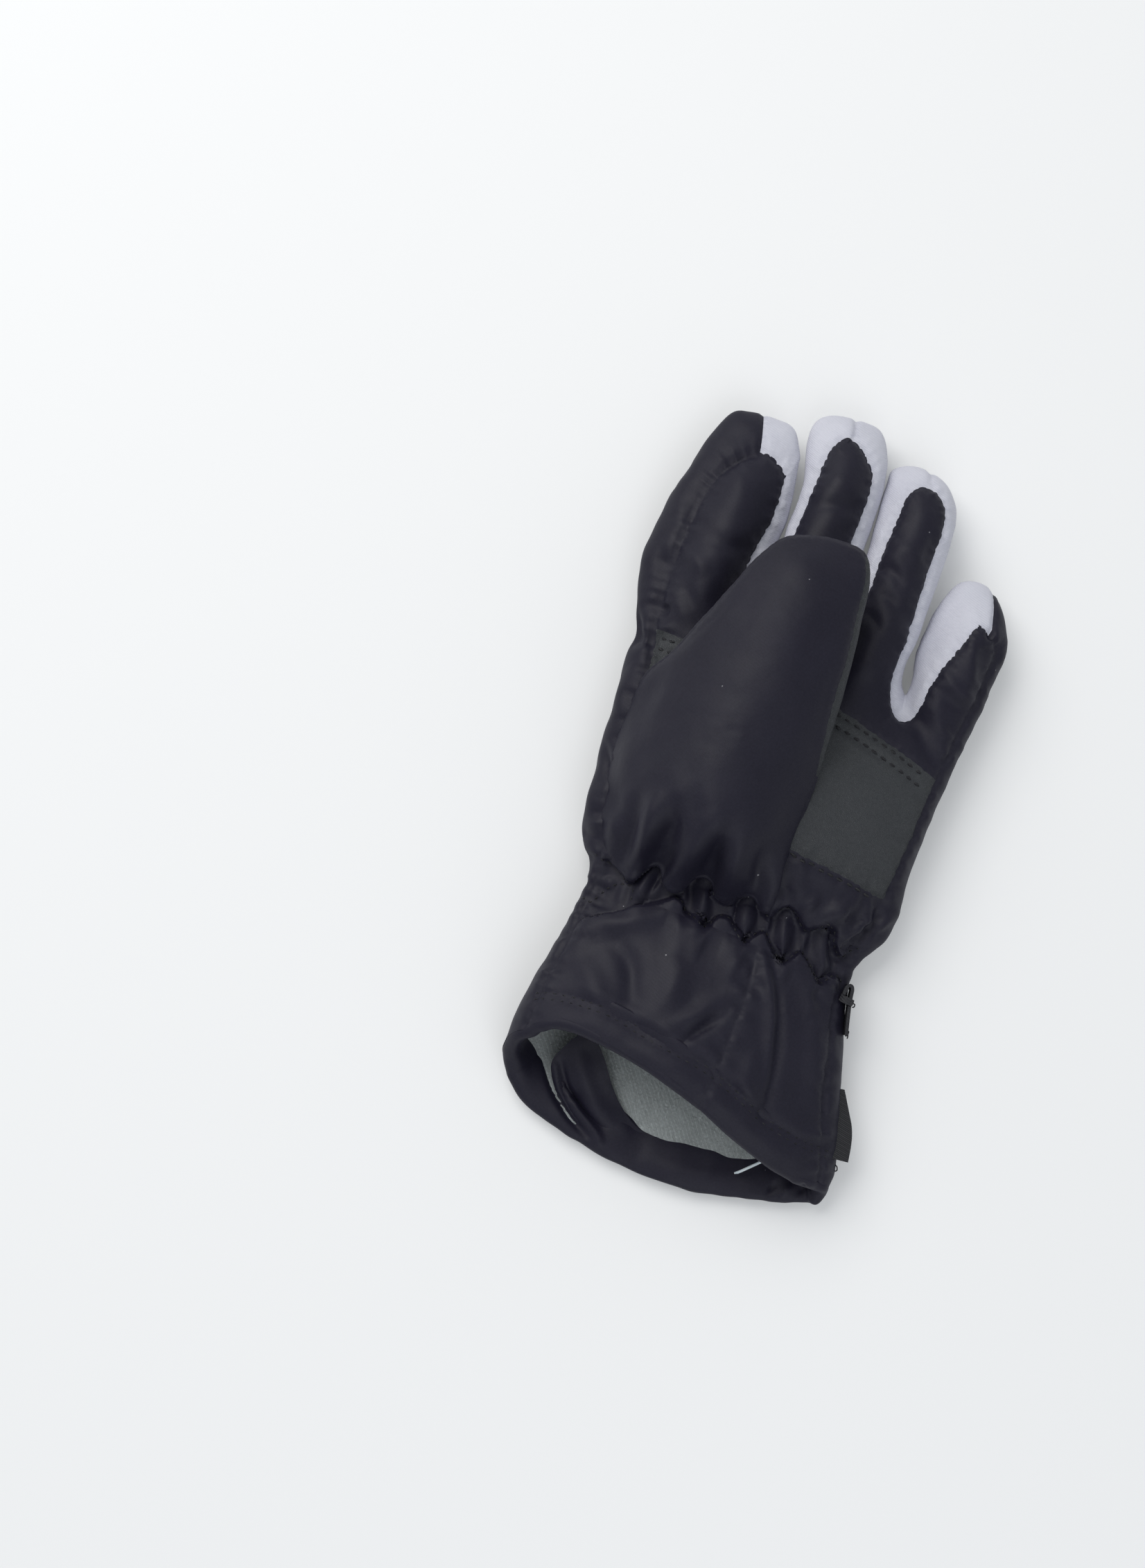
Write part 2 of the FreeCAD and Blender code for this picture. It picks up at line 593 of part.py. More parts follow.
loop_height = ("<loop_z>", ("0", "<loop_width>"))
loop_block = block(
    "loop_block", ("<loop_x>", ("0", "<loop_reach>")), ("<loop_y>", ("0", "<loop_length>")),
    loop_height, turn="-<loop_turn>",
)
loop_eye = block(
    "loop_eye", ("<loop_x>", ("0", "<loop_reach> - <webbing_thickness>")),
    ("<loop_y>", ("-<loop_bar>", "<loop_length> - <loop_bar>")),
    loop_height, turn="-<loop_turn>",
)
loop_webbing = without("loop_webbing", loop_block, loop_eye)
beside_cuff = without("beside_cuff", loop_webbing, cuff_outside)
node("side_loop", without("side_loop", beside_cuff, outer_form))

label_block = block(
    "label_block", ("<label_x>", ("0", "<label_reach>")), ("<label_y>", ("0", "<label_length>")),
    ("<label_z>", ("0", "<label_thickness>")), turn="-<label_turn>",
)
node("side_label", without("side_label", label_block, cuff_outside))

# ---------------------------------------------------------------- check and write

doc.recompute()
for made in doc.Objects:
    if "Invalid" in made.State or "Error" in made.State:
        raise RuntimeError(f"{made.Label} failed: {made.State}")
os.makedirs("parts", exist_ok=True)
for name, made in node_objects.items():
    shape = made.Shape
    if shape.isNull() or not shape.isValid() or not shape.Solids:
        raise RuntimeError(f"{name} has no valid solid")
    print(f"{name}: {len(shape.Solids)} solid(s), {shape.Volume:.0f} cubic millimetres")
for name, made in node_objects.items():
    made.Shape.exportStep(os.path.join("parts", f"{name}.step"))
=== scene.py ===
"""A child's padded ski glove for the left hand, lying on its back with its thumb over the palm."""

import math
import random

import bmesh
import bpy
import numpy as np
from mathutils import Matrix, Vector, noise
from mathutils.bvhtree import BVHTree
from mathutils.geometry import delaunay_2d_cdt
from mathutils.kdtree import KDTree


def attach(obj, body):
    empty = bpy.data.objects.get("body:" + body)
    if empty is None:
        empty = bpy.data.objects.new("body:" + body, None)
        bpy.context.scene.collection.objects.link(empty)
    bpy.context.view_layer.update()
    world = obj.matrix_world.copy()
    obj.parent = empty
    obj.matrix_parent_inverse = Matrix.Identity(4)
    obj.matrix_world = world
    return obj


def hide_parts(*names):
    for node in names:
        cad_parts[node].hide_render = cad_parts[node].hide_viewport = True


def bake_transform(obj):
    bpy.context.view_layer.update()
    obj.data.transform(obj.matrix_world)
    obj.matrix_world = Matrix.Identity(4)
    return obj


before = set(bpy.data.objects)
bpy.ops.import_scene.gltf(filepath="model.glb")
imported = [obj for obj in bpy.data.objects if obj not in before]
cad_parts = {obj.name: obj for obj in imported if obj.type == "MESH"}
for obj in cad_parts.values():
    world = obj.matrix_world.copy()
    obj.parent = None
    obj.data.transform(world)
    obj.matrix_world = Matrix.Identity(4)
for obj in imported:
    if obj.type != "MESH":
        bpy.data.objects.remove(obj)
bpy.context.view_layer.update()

MM = 0.001

# ------------------------------------------------------------------ the view
# A long lens looks down on the glove, a little from its cuff. The glove's wrist is at one pixel of
# the picture, its fingers lean to the right, and seams are given as they are seen on a level plane.

PICTURE = (1652, 2263)
WRIST_PIXEL = (1041, 1335)
LEAN = math.radians(21)
PIXEL = 0.19  # millimetres on the level plane
PLANE_Z = 15.0
DISTANCE = 600.0
ELEVATION = math.radians(82)
SENSOR = 36.0
LENS = SENSOR * DISTANCE / (PICTURE[1] * PIXEL)

right_way = np.array([math.cos(LEAN), math.sin(LEAN), 0.0])
up_way = np.array([-math.sin(LEAN), math.cos(LEAN), 0.0])
looking = up_way * math.cos(ELEVATION) - np.array([0, 0, math.sin(ELEVATION)])
picture_up = np.cross(right_way, looking)
from_wrist = np.array([PICTURE[0] / 2 - WRIST_PIXEL[0], WRIST_PIXEL[1] - PICTURE[1] / 2]) * PIXEL
target = right_way * from_wrist[0] + up_way * from_wrist[1] + np.array([0, 0, PLANE_Z])
eye = target - looking * DISTANCE


def seen(points):
    """The true places of points (x, y, z) whose x and y were read off the level plane."""
    rows = np.array(points, float).reshape(-1, 3)
    flat = rows.copy()
    flat[:, 2] = 0
    across = (flat @ right_way - from_wrist[0]) / DISTANCE
    upward = (flat @ up_way - from_wrist[1]) / DISTANCE
    rays = looking + across[:, None] * right_way + upward[:, None] * picture_up
    reach = (rows[:, 2] - eye[2]) / rays[:, 2]
    return eye + rays * reach[:, None]


def plane_of(points):
    """Where points are seen on the level plane: the opposite of seen."""
    rays = points - eye
    depth = rays @ looking
    across = rays @ right_way / depth * DISTANCE + from_wrist[0]
    upward = rays @ picture_up / depth * DISTANCE + from_wrist[1]
    return across[:, None] * right_way[:2] + upward[:, None] * up_way[:2]


camera = bpy.data.cameras.new("camera")
camera.lens = LENS
camera.sensor_width = SENSOR
camera.clip_end = 10
camera_object = bpy.data.objects.new("camera", camera)
bpy.context.collection.objects.link(camera_object)
turn = Matrix((right_way, picture_up, -looking)).transposed()
camera_object.matrix_world = Matrix.Translation(Vector(eye * MM)) @ turn.to_4x4()
bpy.context.scene.camera = camera_object
bpy.context.scene.view_settings.view_transform = "Standard"

# ------------------------------------------------------------------ the table and the light
# The glove lies on a white table. One wide soft lamp hangs over its fingers' side and a weaker one
# fills from the cuff, so that every shadow is pale and has a soft edge.

TABLE_SIZE = 6.0  # metres
TABLE_Z = -0.0001
TABLE_WHITE = (0.8, 0.805, 0.81, 1)
TABLE_GLOW = (0.98, 1, 1, 1)
TABLE_LIFT = 0.14  # added for the camera alone, so that the table looks white
WORLD_COLOR = (0.93, 0.965, 1.0, 1)
WORLD_LEVEL = 0.45
LAMP_AIM = (0, 0.03, 0.02)


def new_node(tree, kind, values=None, **settings):
    """A node with its settings, and a constant or another node's socket at each named input."""
    node = tree.nodes.new(kind)
    for name, value in settings.items():
        setattr(node, name, value)
    for socket, value in (values or {}).items():
        if isinstance(value, bpy.types.NodeSocket):
            tree.links.new(value, node.inputs[socket])
        else:
            node.inputs[socket].default_value = value
    return node


def new_material(name, **constants):
    """A material, its node tree and its Principled shader; an underscore stands for a space."""
    material = bpy.data.materials.new(name)
    material.use_nodes = True
    shader = material.node_tree.nodes["Principled BSDF"]
    for label, value in constants.items():
        shader.inputs[label.replace("_", " ")].default_value = value
    return material, material.node_tree, shader


bpy.ops.mesh.primitive_plane_add(size=TABLE_SIZE, location=(0, 0, TABLE_Z))
table = bpy.context.object
table.name = "table"
table_white, tree, shader = new_material(
    "table_white", Base_Color=TABLE_WHITE, Roughness=0.9, Specular_IOR_Level=0.2
)
camera_ray = new_node(tree, "ShaderNodeLightPath").outputs["Is Camera Ray"]
lift = new_node(tree, "ShaderNodeMath", {0: camera_ray, 1: TABLE_LIFT}, operation="MULTIPLY")
glow = new_node(tree, "ShaderNodeEmission", {"Color": TABLE_GLOW, "Strength": lift.outputs[0]})
both = new_node(tree, "ShaderNodeAddShader", {0: shader.outputs[0], 1: glow.outputs[0]})
tree.links.new(both.outputs[0], tree.nodes["Material Output"].inputs["Surface"])
table.data.materials.append(table_white)

world = bpy.data.worlds.new("studio")
world.use_nodes = True
world.node_tree.nodes["Background"].inputs["Color"].default_value = WORLD_COLOR
world.node_tree.nodes["Background"].inputs["Strength"].default_value = WORLD_LEVEL
bpy.context.scene.world = world


def lamp(name, place, size, power, color):
    """A square soft lamp at a place in metres, aimed at the middle of the glove."""
    light = bpy.data.lights.new(name, "AREA")
    light.size = size
    light.energy = power
    light.color = color
    lamp_object = bpy.data.objects.new(name, light)
    lamp_object.location = place
    aim = Vector(LAMP_AIM) - Vector(place)
    lamp_object.rotation_euler = aim.to_track_quat("-Z", "Y").to_euler()
    bpy.context.collection.objects.link(lamp_object)


lamp("window", (-0.7, 0.5, 0.95), 1.0, 9.8, (1.0, 0.985, 0.96))
lamp("fill", (0.45, -0.75, 0.8), 0.9, 3, (0.95, 0.97, 1.0))

# ------------------------------------------------------------------ the pattern of the shell
# The shell is sewn from a palm side (the front), a back, and one long strip between them that runs
# round every finger. These lines are the front seam, the strip's outermost line, and the hems.

SPACING = 1.3  # millimetres between points along a seam
FILL = 1.8  # millimetres between points inside a panel
WRIST_FILL = 1.1  # the same where the wrist is gathered
WRIST_ZONE = (-16, 15)
STRIP_ROWS = 10
BACK_INSET = 2.6  # the back seam lies this far inside the outermost line
BACK_SEAM_Z = 4.0
ROOT_Y = 78.0  # the fingers' own pieces start here
WRIST_Y = -2.5  # seam between hand and cuff
GATHER_Y = 7.5  # upper stitch row of the wrist's elastic

# Each run has the front seam's points and the outermost line's points, hem to hem clockwise.
RUNS = {
    "left_side": (
        [(-40.5, -46, 20), (-40, -35, 20), (-38.5, -20, 17), (-37, -8, 14), (-36.5, 0, 14),
         (-39, 8, 17), (-41.5, 22, 19), (-42, 40, 19), (-43.5, 57, 18), (-46, 68, 16),
         (-47.5, 76, 16), (-48, 86, 17), (-47.6, 100, 17), (-47, 110, 17)],
        [(-44.3, -51, 12), (-43.3, -35, 12), (-41, -20, 11), (-39, -8, 10), (-39, 0, 9),
         (-44.5, 8, 10), (-47, 20, 11), (-48.5, 35, 11), (-49.6, 50, 11), (-51, 60, 11),
         (-50.4, 66, 11), (-53, 73, 11), (-56, 83, 11), (-56.3, 97, 11), (-54.5, 110, 11)],
    ),
    "index_tip": (
        [(-47, 110, 17), (-44, 117, 17), (-40, 122, 17), (-36, 125, 16.5), (-31, 124, 16.5),
         (-27.2, 121.5, 16.5)],
        [(-54.5, 110, 11), (-51.5, 123, 11), (-47.5, 131.5, 11), (-43, 134, 11),
         (-36, 135, 11), (-30, 134, 11), (-25.6, 127.5, 11)],
    ),
    "index_right": (
        [(-27.2, 121.5, 16.5), (-26.6, 115, 17), (-27, 105, 17), (-28, 95, 17), (-27.5, 84, 16.5),
         (-25, 74, 15.5), (-24, 71, 15)],
        [(-25.6, 127.5, 11), (-23.6, 118, 11), (-23.2, 105, 11), (-23.6, 92, 11), (-23.9, 82, 11),
         (-23.8, 75, 11)],
    ),
    "middle_left": (
        [(-24, 71, 15), (-22.5, 75, 15.5), (-20.5, 86, 16.5), (-20, 100, 17), (-20, 115, 17),
         (-19.8, 127, 17)],
        [(-23.8, 75, 11), (-22.6, 84, 11), (-22, 95, 11), (-22, 105, 11), (-22.6, 118, 11),
         (-25.2, 131, 10)],
    ),
    "middle_tip": (
        [(-19.8, 127, 17), (-18.8, 133, 17), (-16, 137.3, 16.5), (-12.5, 137, 16.5),
         (-8, 133.5, 17), (-5, 130, 17), (-3.6, 124, 17)],
        [(-25.2, 131, 10), (-25.4, 137, 10), (-22, 141, 10), (-14, 142.6, 10),
         (-7.4, 142, 10), (-3.4, 136.4, 10), (-1.4, 128, 10)],
    ),
    "middle_right": (
        [(-3.6, 124, 17), (-3.6, 115, 17), (-3.8, 100, 17), (-3.4, 88, 16.5), (-1.8, 76, 15.5),
         (-0.4, 71, 15)],
        [(-1.4, 128, 10), (-0.6, 118, 11), (-0.3, 105, 11), (-0.5, 92, 11), (-0.6, 82, 11),
         (-0.2, 75, 11)],
    ),
    "ring_left": (
        [(-0.4, 71, 15), (1, 75, 15.5), (3.4, 84, 16.5), (4.4, 98, 17), (4.3, 112, 17),
         (4.7, 123, 17)],
        [(-0.2, 75, 11), (0.6, 83, 11), (0.9, 95, 11), (0.7, 108, 11), (-0.2, 120, 11),
         (-1, 128.5, 9)],
    ),
    "ring_tip": (
        [(4.7, 123, 17), (5.2, 128.5, 17), (7.5, 132, 16.5), (10.5, 132.8, 16.5),
         (14.5, 131.5, 16.5), (17.6, 127.5, 17), (18.8, 121, 17)],
        [(-1, 128.5, 9), (-0.8, 133.2, 9), (3.6, 136.2, 9), (9, 136.7, 10), (14.4, 135, 10),
         (18.7, 130.4, 10), (20.7, 125, 11)],
    ),
    "ring_right": (
        [(18.8, 121, 17), (18.8, 110, 17), (19.2, 97, 17), (19.8, 86, 16.5), (20.5, 78, 15.5),
         (22.6, 72.6, 14.5), (25.5, 70, 14)],
        [(20.7, 125, 11), (21.6, 113, 11), (22, 102, 11), (21.9, 93, 10.5), (21.8, 86, 10),
         (22.6, 80, 9.5), (24.6, 76.5, 9)],
    ),
    "little_left": (
        [(25.5, 70, 14), (28, 71.5, 15), (29.2, 76, 17), (29.8, 82, 18), (31.4, 88.5, 19),
         (34, 95, 19.5), (35.6, 100, 19)],
        [(24.6, 76.5, 9), (24.3, 81, 9), (23.4, 87, 9), (23.2, 93, 9), (23.8, 99, 10),
         (25, 104.5, 11)],
    ),
    "little_tip": (
        [(35.6, 100, 19), (37.5, 101.6, 18.5), (41, 99.8, 17.5), (44, 97, 16)],
        [(25, 104.5, 11), (27.5, 110, 11), (32, 112.6, 11), (37, 112, 11), (41.6, 107.6, 11),
         (45.2, 101, 11)],
    ),
    "right_side": (
        [(44, 97, 16), (43.9, 90, 16), (43.2, 80, 16), (42, 70, 16.5), (41.2, 58, 17.5),
         (40.6, 45, 18), (40, 34, 18), (39.4, 24, 17.5), (38, 13, 16), (35, 3, 14),
         (35.5, -5, 14.5), (38.3, -15, 16.5), (42, -30, 17.5), (47, -45, 16.5), (50.5, -57.5, 12.5)],
        [(45.2, 101, 11), (46.3, 96, 11), (45.8, 85, 11), (45.2, 75, 11), (44.4, 62, 11),
         (43.6, 50, 11), (43.4, 40, 11), (43.8, 30, 11), (44.3, 20, 11), (43.6, 12, 10.5),
         (38.6, 2, 9), (39, -5, 9), (42, -15, 10), (46.5, -30, 11), (50.5, -42, 10),
         (53.2, -51, 9), (53.6, -57.5, 8)],
    ),
}
PALM_HEM = [(-40.5, -46, 20), (-37, -42.6, 23), (-30, -40.6, 25.5), (-20, -41.2, 27),
            (-10, -42.8, 28), (5, -46, 28), (20, -51, 26), (33, -55.4, 22), (43, -57.6, 17),
            (50.5, -57.5, 12)]
BACK_HEM = [(-41.5, -57, 3.5), (-37, -60.5, 2), (-30, -64, 1.5), (-20, -66.8, 1.5),
            (-10, -68.6, 1.5), (2, -69.8, 1.5), (15, -69.6, 1.5), (30, -66.6, 1.5),
            (43, -63, 1.5), (51, -60.5, 3)]
PATCH_TOP = [(-45, 70.5, 22), (-37, 70, 23), (-20, 69.6, 24), (9, 67, 24), (25, 63.6, 24),
             (41.2, 58, 18)]
PATCH_BOTTOM = [(-42, 30, 20), (-20, 28, 24), (11, 25.6, 25), (25, 24.6, 24), (39.3, 22, 18)]
FRONT_CUFF_SEAM = [(11.5, -2.5, 20), (13, -15, 24), (13.2, -28, 26), (13, -38, 27),
                   (12.5, -48.5, 27)]
STITCH_PITCH = 2.7
PULL_MARKS = 4  # millimetres between places where the stitches pull unevenly
PULL_LEAST, PULL_MOST = 0.02, 0.13


def smooth_line(points, count):
    """Evenly spaced points on a smooth line through the given points."""
    rows = np.array(points, float)
    ends = np.vstack([2 * rows[0] - rows[1], rows, 2 * rows[-1] - rows[-2]])
    share = np.linspace(0, 1, 24, endpoint=False)[:, None]
    dense = []
    for before, start, stop, after in zip(ends, ends[1:], ends[2:], ends[3:]):
        slope = (stop - before) / 2
        next_slope = (after - start) / 2
        change = stop - start
        dense.append(
            start + slope * share + (3 * change - 2 * slope - next_slope) * share**2
            + (slope + next_slope - 2 * change) * share**3
        )
    dense = np.vstack(dense + [rows[-1:]])
    length = np.concatenate([[0], np.cumsum(np.linalg.norm(np.diff(dense, axis=0), axis=1))])
    places = np.linspace(0, length[-1], count)
    return np.stack([np.interp(places, length, dense[:, axis]) for axis in range(3)], axis=1)


def line_length(points):
    """Length of a line through points."""
    return np.linalg.norm(np.diff(smooth_line(points, 60), axis=0), axis=1).sum()


front_line, outer_line, run_start = [], [], {}
for run, (front, outer) in RUNS.items():
    front, outer = seen(front), seen(outer)
    count = int(max(line_length(front), line_length(outer)) / SPACING) + 2
    run_start[run] = sum(len(part) for part in front_line)
    front_line.append(smooth_line(front, count)[:-1])
    outer_line.append(smooth_line(outer, count)[:-1])
front_line = np.vstack(front_line + [seen(RUNS["right_side"][0][-1])])
outer_line = np.vstack(outer_line + [seen(RUNS["right_side"][1][-1])])
columns = len(front_line)
stitch_pull = random.Random(3)


def softened(rows, times):
    """Rows averaged with their neighbours, with the two ends kept."""
    for _ in range(times):
        rows[1:-1] = (rows[:-2] + 2 * rows[1:-1] + rows[2:]) / 4
    return rows


inward = np.gradient(outer_line, axis=0)[:, [1, 0, 2]] * [1, -1, 0]
inward = softened(inward / np.linalg.norm(inward, axis=1)[:, None], 5)
steps = np.linalg.norm(np.diff(front_line, axis=0), axis=1)
run_length = np.concatenate([[0], np.cumsum(steps)])
pull_marks = np.arange(0, run_length[-1] + 2 * PULL_MARKS, PULL_MARKS)
pulls = [stitch_pull.uniform(PULL_LEAST, PULL_MOST) for _ in pull_marks]
pulls = np.interp(run_length, pull_marks, pulls)
pulls[: run_start["index_tip"]] *= 0.3
pulls[run_start["right_side"] + 12 :] *= 0.3
front_line += inward * (pulls * np.cos(run_length * math.tau / STITCH_PITCH))[:, None]
back_line = outer_line + inward * BACK_INSET
back_line[:, 2] = BACK_SEAM_Z
back_line[0], back_line[-1] = seen(BACK_HEM[0]), seen(BACK_HEM[-1])

strip = np.zeros((STRIP_ROWS + 1, columns, 3))
bulge = 2 * outer_line - (front_line + back_line) / 2
for row in range(STRIP_ROWS + 1):
    t = row / STRIP_ROWS
    strip[row] = front_line * (1 - t) ** 2 + bulge * 2 * t * (1 - t) + back_line * t**2


def column_near(run, place):
    """The strip's column in a run whose outermost point is nearest to a place seen from above."""
    runs = list(run_start)
    start = run_start[run]
    stop = columns if run == runs[-1] else run_start[runs[runs.index(run) + 1]]
    gap = np.linalg.norm(outer_line[start:stop, :2] - seen([(*place, 11)])[0, :2], axis=1)
    return start + int(np.argmin(gap))


def column_at_y(run, y):
    """The strip's column in a run whose point on the front seam is nearest to a true Y."""
    runs = list(run_start)
    start = run_start[run]
    stop = columns if run == runs[-1] else run_start[runs[runs.index(run) + 1]]
    return start + int(np.argmin(np.abs(front_line[start:stop, 1] - y)))


class Sheet:
    """The shell's points, its faces and the panel that each face belongs to."""

    def __init__(self):
        self.points = []
        self.faces = []
        self.panels = []

    def add_points(self, rows):
        first = len(self.points)
        self.points.extend(np.asarray(rows, float).tolist())
        return list(range(first, first + len(rows)))

    def add_face(self, corners, panel):
        self.faces.append(tuple(corners))
        self.panels.append(panel)


def inside(places, outline):
    """Which 2-D places lie inside a closed outline."""
    x, y = places[:, 0][:, None], places[:, 1][:, None]
    x0, y0 = outline[:, 0], outline[:, 1]
    x1, y1 = np.roll(x0, -1), np.roll(y0, -1)
    crosses = (y0 > y) != (y1 > y)
    at = x0 + (y - y0) * (x1 - x0) / np.where(y1 == y0, 1e-9, y1 - y0)
    return (crosses & (x < at)).sum(axis=1) % 2 == 1


def distance_to(places, lines):
    """Distance in plan from each place to the nearest point of some densely sampled lines."""
    tree = KDTree(sum(len(line) for line in lines))
    count = 0
    for line in lines:
        for x, y in line[:, :2]:
            tree.insert((x, y, 0), count)
            count += 1
    tree.balance()
    return np.array([tree.find((x, y, 0))[2] for x, y in places[:, :2]])


EDGE_SHARE = 0.62  # the least gap between a line and the net's own points, next to its spacing


def filled(sheet, loop, inner_lines, fineness):
    """Fills a closed loop of points with a net of triangles that keeps to the inner lines.

    loop and inner_lines are lists of point numbers. fineness lists each spacing of the net with
    the lowest and highest Y that it is for. Returns the corners of each triangle.
    """
    points = np.array(sheet.points)
    outline = points[loop]
    low, high = outline[:, :2].min(axis=0), outline[:, :2].max(axis=0)
    grid = []
    for step, start, stop in fineness:
        start, stop = max(start, low[1]), min(stop, high[1])
        rows = int((stop - start) / (step * math.sqrt(3) / 2)) + 1 if stop > start else 0
        for row in range(rows):
            xs = np.arange(low[0] + (row % 2) * step / 2, high[0], step)
            ys = np.full(len(xs), start + row * step * math.sqrt(3) / 2)
            grid.append(np.stack([xs, ys, np.full(len(xs), step)], axis=1))
    grid = np.vstack(grid)
    lines = [outline] + [points[line] for line in inner_lines]
    grid = grid[inside(grid[:, :2], outline[:, :2])]
    grid = grid[distance_to(grid, lines) > grid[:, 2] * EDGE_SHARE][:, :2]
    new = np.column_stack([grid, np.full(len(grid), outline[:, 2].mean())])
    numbers = list(dict.fromkeys(loop + [n for line in inner_lines for n in line]))
    place_of = {number: place for place, number in enumerate(numbers)}
    new_numbers = sheet.add_points(new)
    everything = numbers + new_numbers
    flat = [Vector(sheet.points[number][:2]) for number in everything]
    edges = [(place_of[a], place_of[b]) for a, b in zip(loop, loop[1:] + loop[:1])]
    for line in inner_lines:
        edges += [(place_of[a], place_of[b]) for a, b in zip(line, line[1:])]
    _, _, faces, origins, _, _ = delaunay_2d_cdt(flat, edges, [], 1, 1e-5)
    return [[everything[origins[corner][0]] for corner in face] for face in faces]


shell = Sheet()
strip_rows = [shell.add_points(row) for row in strip]
front_seam, back_seam = strip_rows[0], strip_rows[-1]


def along(points, first, last):
    """New points along a smooth line between two points that the shell already has."""
    ends = [shell.points[first]], [shell.points[last]]
    line = np.vstack([ends[0], np.array(points, float).reshape(-1, 3), ends[1]])
    count = max(int(np.linalg.norm(np.diff(line, axis=0), axis=1).sum() / SPACING) + 1, 3)
    return [first] + shell.add_points(smooth_line(line, count)[1:-1]) + [last]


def nearest(numbers, place):
    """The one of some points that is nearest in plan to a place."""
    rows = np.array([shell.points[number][:2] for number in numbers])
    return numbers[int(np.argmin(np.linalg.norm(rows - np.asarray(place)[:2], axis=1)))]


palm_hem = along(seen(PALM_HEM[1:-1]), front_seam[0], front_seam[-1])
back_hem = along(seen(BACK_HEM[1:-1]), back_seam[0], back_seam[-1])

# Where each finger's own pieces begin, and where the strips change colour at its tip.
FINGERS = ("index", "middle", "ring", "little")
SIDE_RUNS = {
    "index": ("left_side", "index_right"),
    "middle": ("middle_left", "middle_right"),
    "ring": ("ring_left", "ring_right"),
    "little": ("little_left", "right_side"),
}
TIP_SEAMS = {
    "index": (-39.5, 134.8), "middle": (-15, 142.3), "ring": (9.4, 136.7), "little": (37.5, 112)
}
root_columns = {
    finger: tuple(column_at_y(run, ROOT_Y) for run in runs)
    for finger, runs in SIDE_RUNS.items()
}
tip_columns = {
    finger: column_near(f"{finger}_tip", place) for finger, place in TIP_SEAMS.items()
}
SIDES = ("left_side", "right_side")
wrist_columns = tuple(column_at_y(run, WRIST_Y) for run in SIDES)

front_roots, back_roots = {}, {}
for finger, (left, right) in root_columns.items():
    front_roots[finger] = along([], front_seam[left], front_seam[right])
    back_roots[finger] = along([], back_seam[left], back_seam[right])
patch_top, patch_bottom = seen(PATCH_TOP), seen(PATCH_BOTTOM)
patch_lines = [
    along(line[1:-1], nearest(front_seam, line[0]), nearest(front_seam, line[-1]))
    for line in (patch_top, patch_bottom)
]
front_wrist = along([], front_seam[wrist_columns[0]], front_seam[wrist_columns[1]])
gather_columns = tuple(column_at_y(run, GATHER_Y) for run in SIDES)
gather_row = along([], front_seam[gather_columns[0]], front_seam[gather_columns[1]])
back_wrist = along([], back_seam[wrist_columns[0]], back_seam[wrist_columns[1]])
seam_line = seen(FRONT_CUFF_SEAM)
seam_ends = nearest(front_wrist, seam_line[0]), nearest(palm_hem, seam_line[-1])
cuff_seam = along(seam_line[1:-1], *seam_ends)


def places_of(numbers):
    """The places of some of the shell's points."""
    return np.array([shell.points[number] for number in numbers])


top_places, bottom_places, wrist_places, back_wrist_places, cuff_places = (
    places_of(line) for line in (*patch_lines, front_wrist, back_wrist, cuff_seam[::-1])
)
FINGER_EDGES = (-23.8, -0.4, 23.2)


def finger_at(x):
    """The finger that is sewn on at an X."""
    return FINGERS[sum(x > edge for edge in FINGER_EDGES)]


def front_panel(x, y):
    """The palm side's panel at a place."""
    if y > ROOT_Y:
        return f"{finger_at(x)}_tip_front"
    if y > np.interp(x, top_places[:, 0], top_places[:, 1]):
        return "palm_upper_panel"
    if y > np.interp(x, bottom_places[:, 0], bottom_places[:, 1]):
        return "palm_patch"
    if y > np.interp(x, wrist_places[:, 0], wrist_places[:, 1]):
        return "palm_lower_panel"
    left = x < np.interp(y, cuff_places[:, 1], cuff_places[:, 0])
    return "cuff_front_left_panel" if left else "cuff_front_right_panel"


def back_panel(x, y):
    """The back's panel at a place."""
    if y > ROOT_Y:
        return f"{finger_at(x)}_tip_back"
    hand = y > np.interp(x, back_wrist_places[:, 0], back_wrist_places[:, 1])
    return "back_panel" if hand else "cuff_back_panel"


def facing_up(sheet, corners, up=True):
    """A triangle's corners in the order that makes it face up, or down."""
    a, b, c = (sheet.points[corner] for corner in corners)
    area = (b[0] - a[0]) * (c[1] - a[1]) - (b[1] - a[1]) * (c[0] - a[0])
    return corners if (area > 0) == up else corners[::-1]


front_loop = front_seam + palm_hem[-2:0:-1]
back_loop = back_seam + back_hem[-2:0:-1]
front_lines = [*front_roots.values(), *patch_lines, front_wrist, gather_row, cuff_seam]
back_lines = [*back_roots.values(), back_wrist]
FAR = 200  # a Y beyond either end of the glove
EVEN_NET = [(FILL, -FAR, FAR)]
front_net = [(FILL, -FAR, WRIST_ZONE[0]), (WRIST_FILL, *WRIST_ZONE), (FILL, WRIST_ZONE[1], FAR)]
for loop, lines, panel_at, up, net in (
    (front_loop, front_lines, front_panel, True, front_net),
    (back_loop, back_lines, back_panel, False, EVEN_NET),
):
    for corners in filled(shell, loop, lines, net):
        middle = np.mean([shell.points[corner] for corner in corners], axis=0)
        shell.add_face(facing_up(shell, corners, up), panel_at(middle[0], middle[1]))

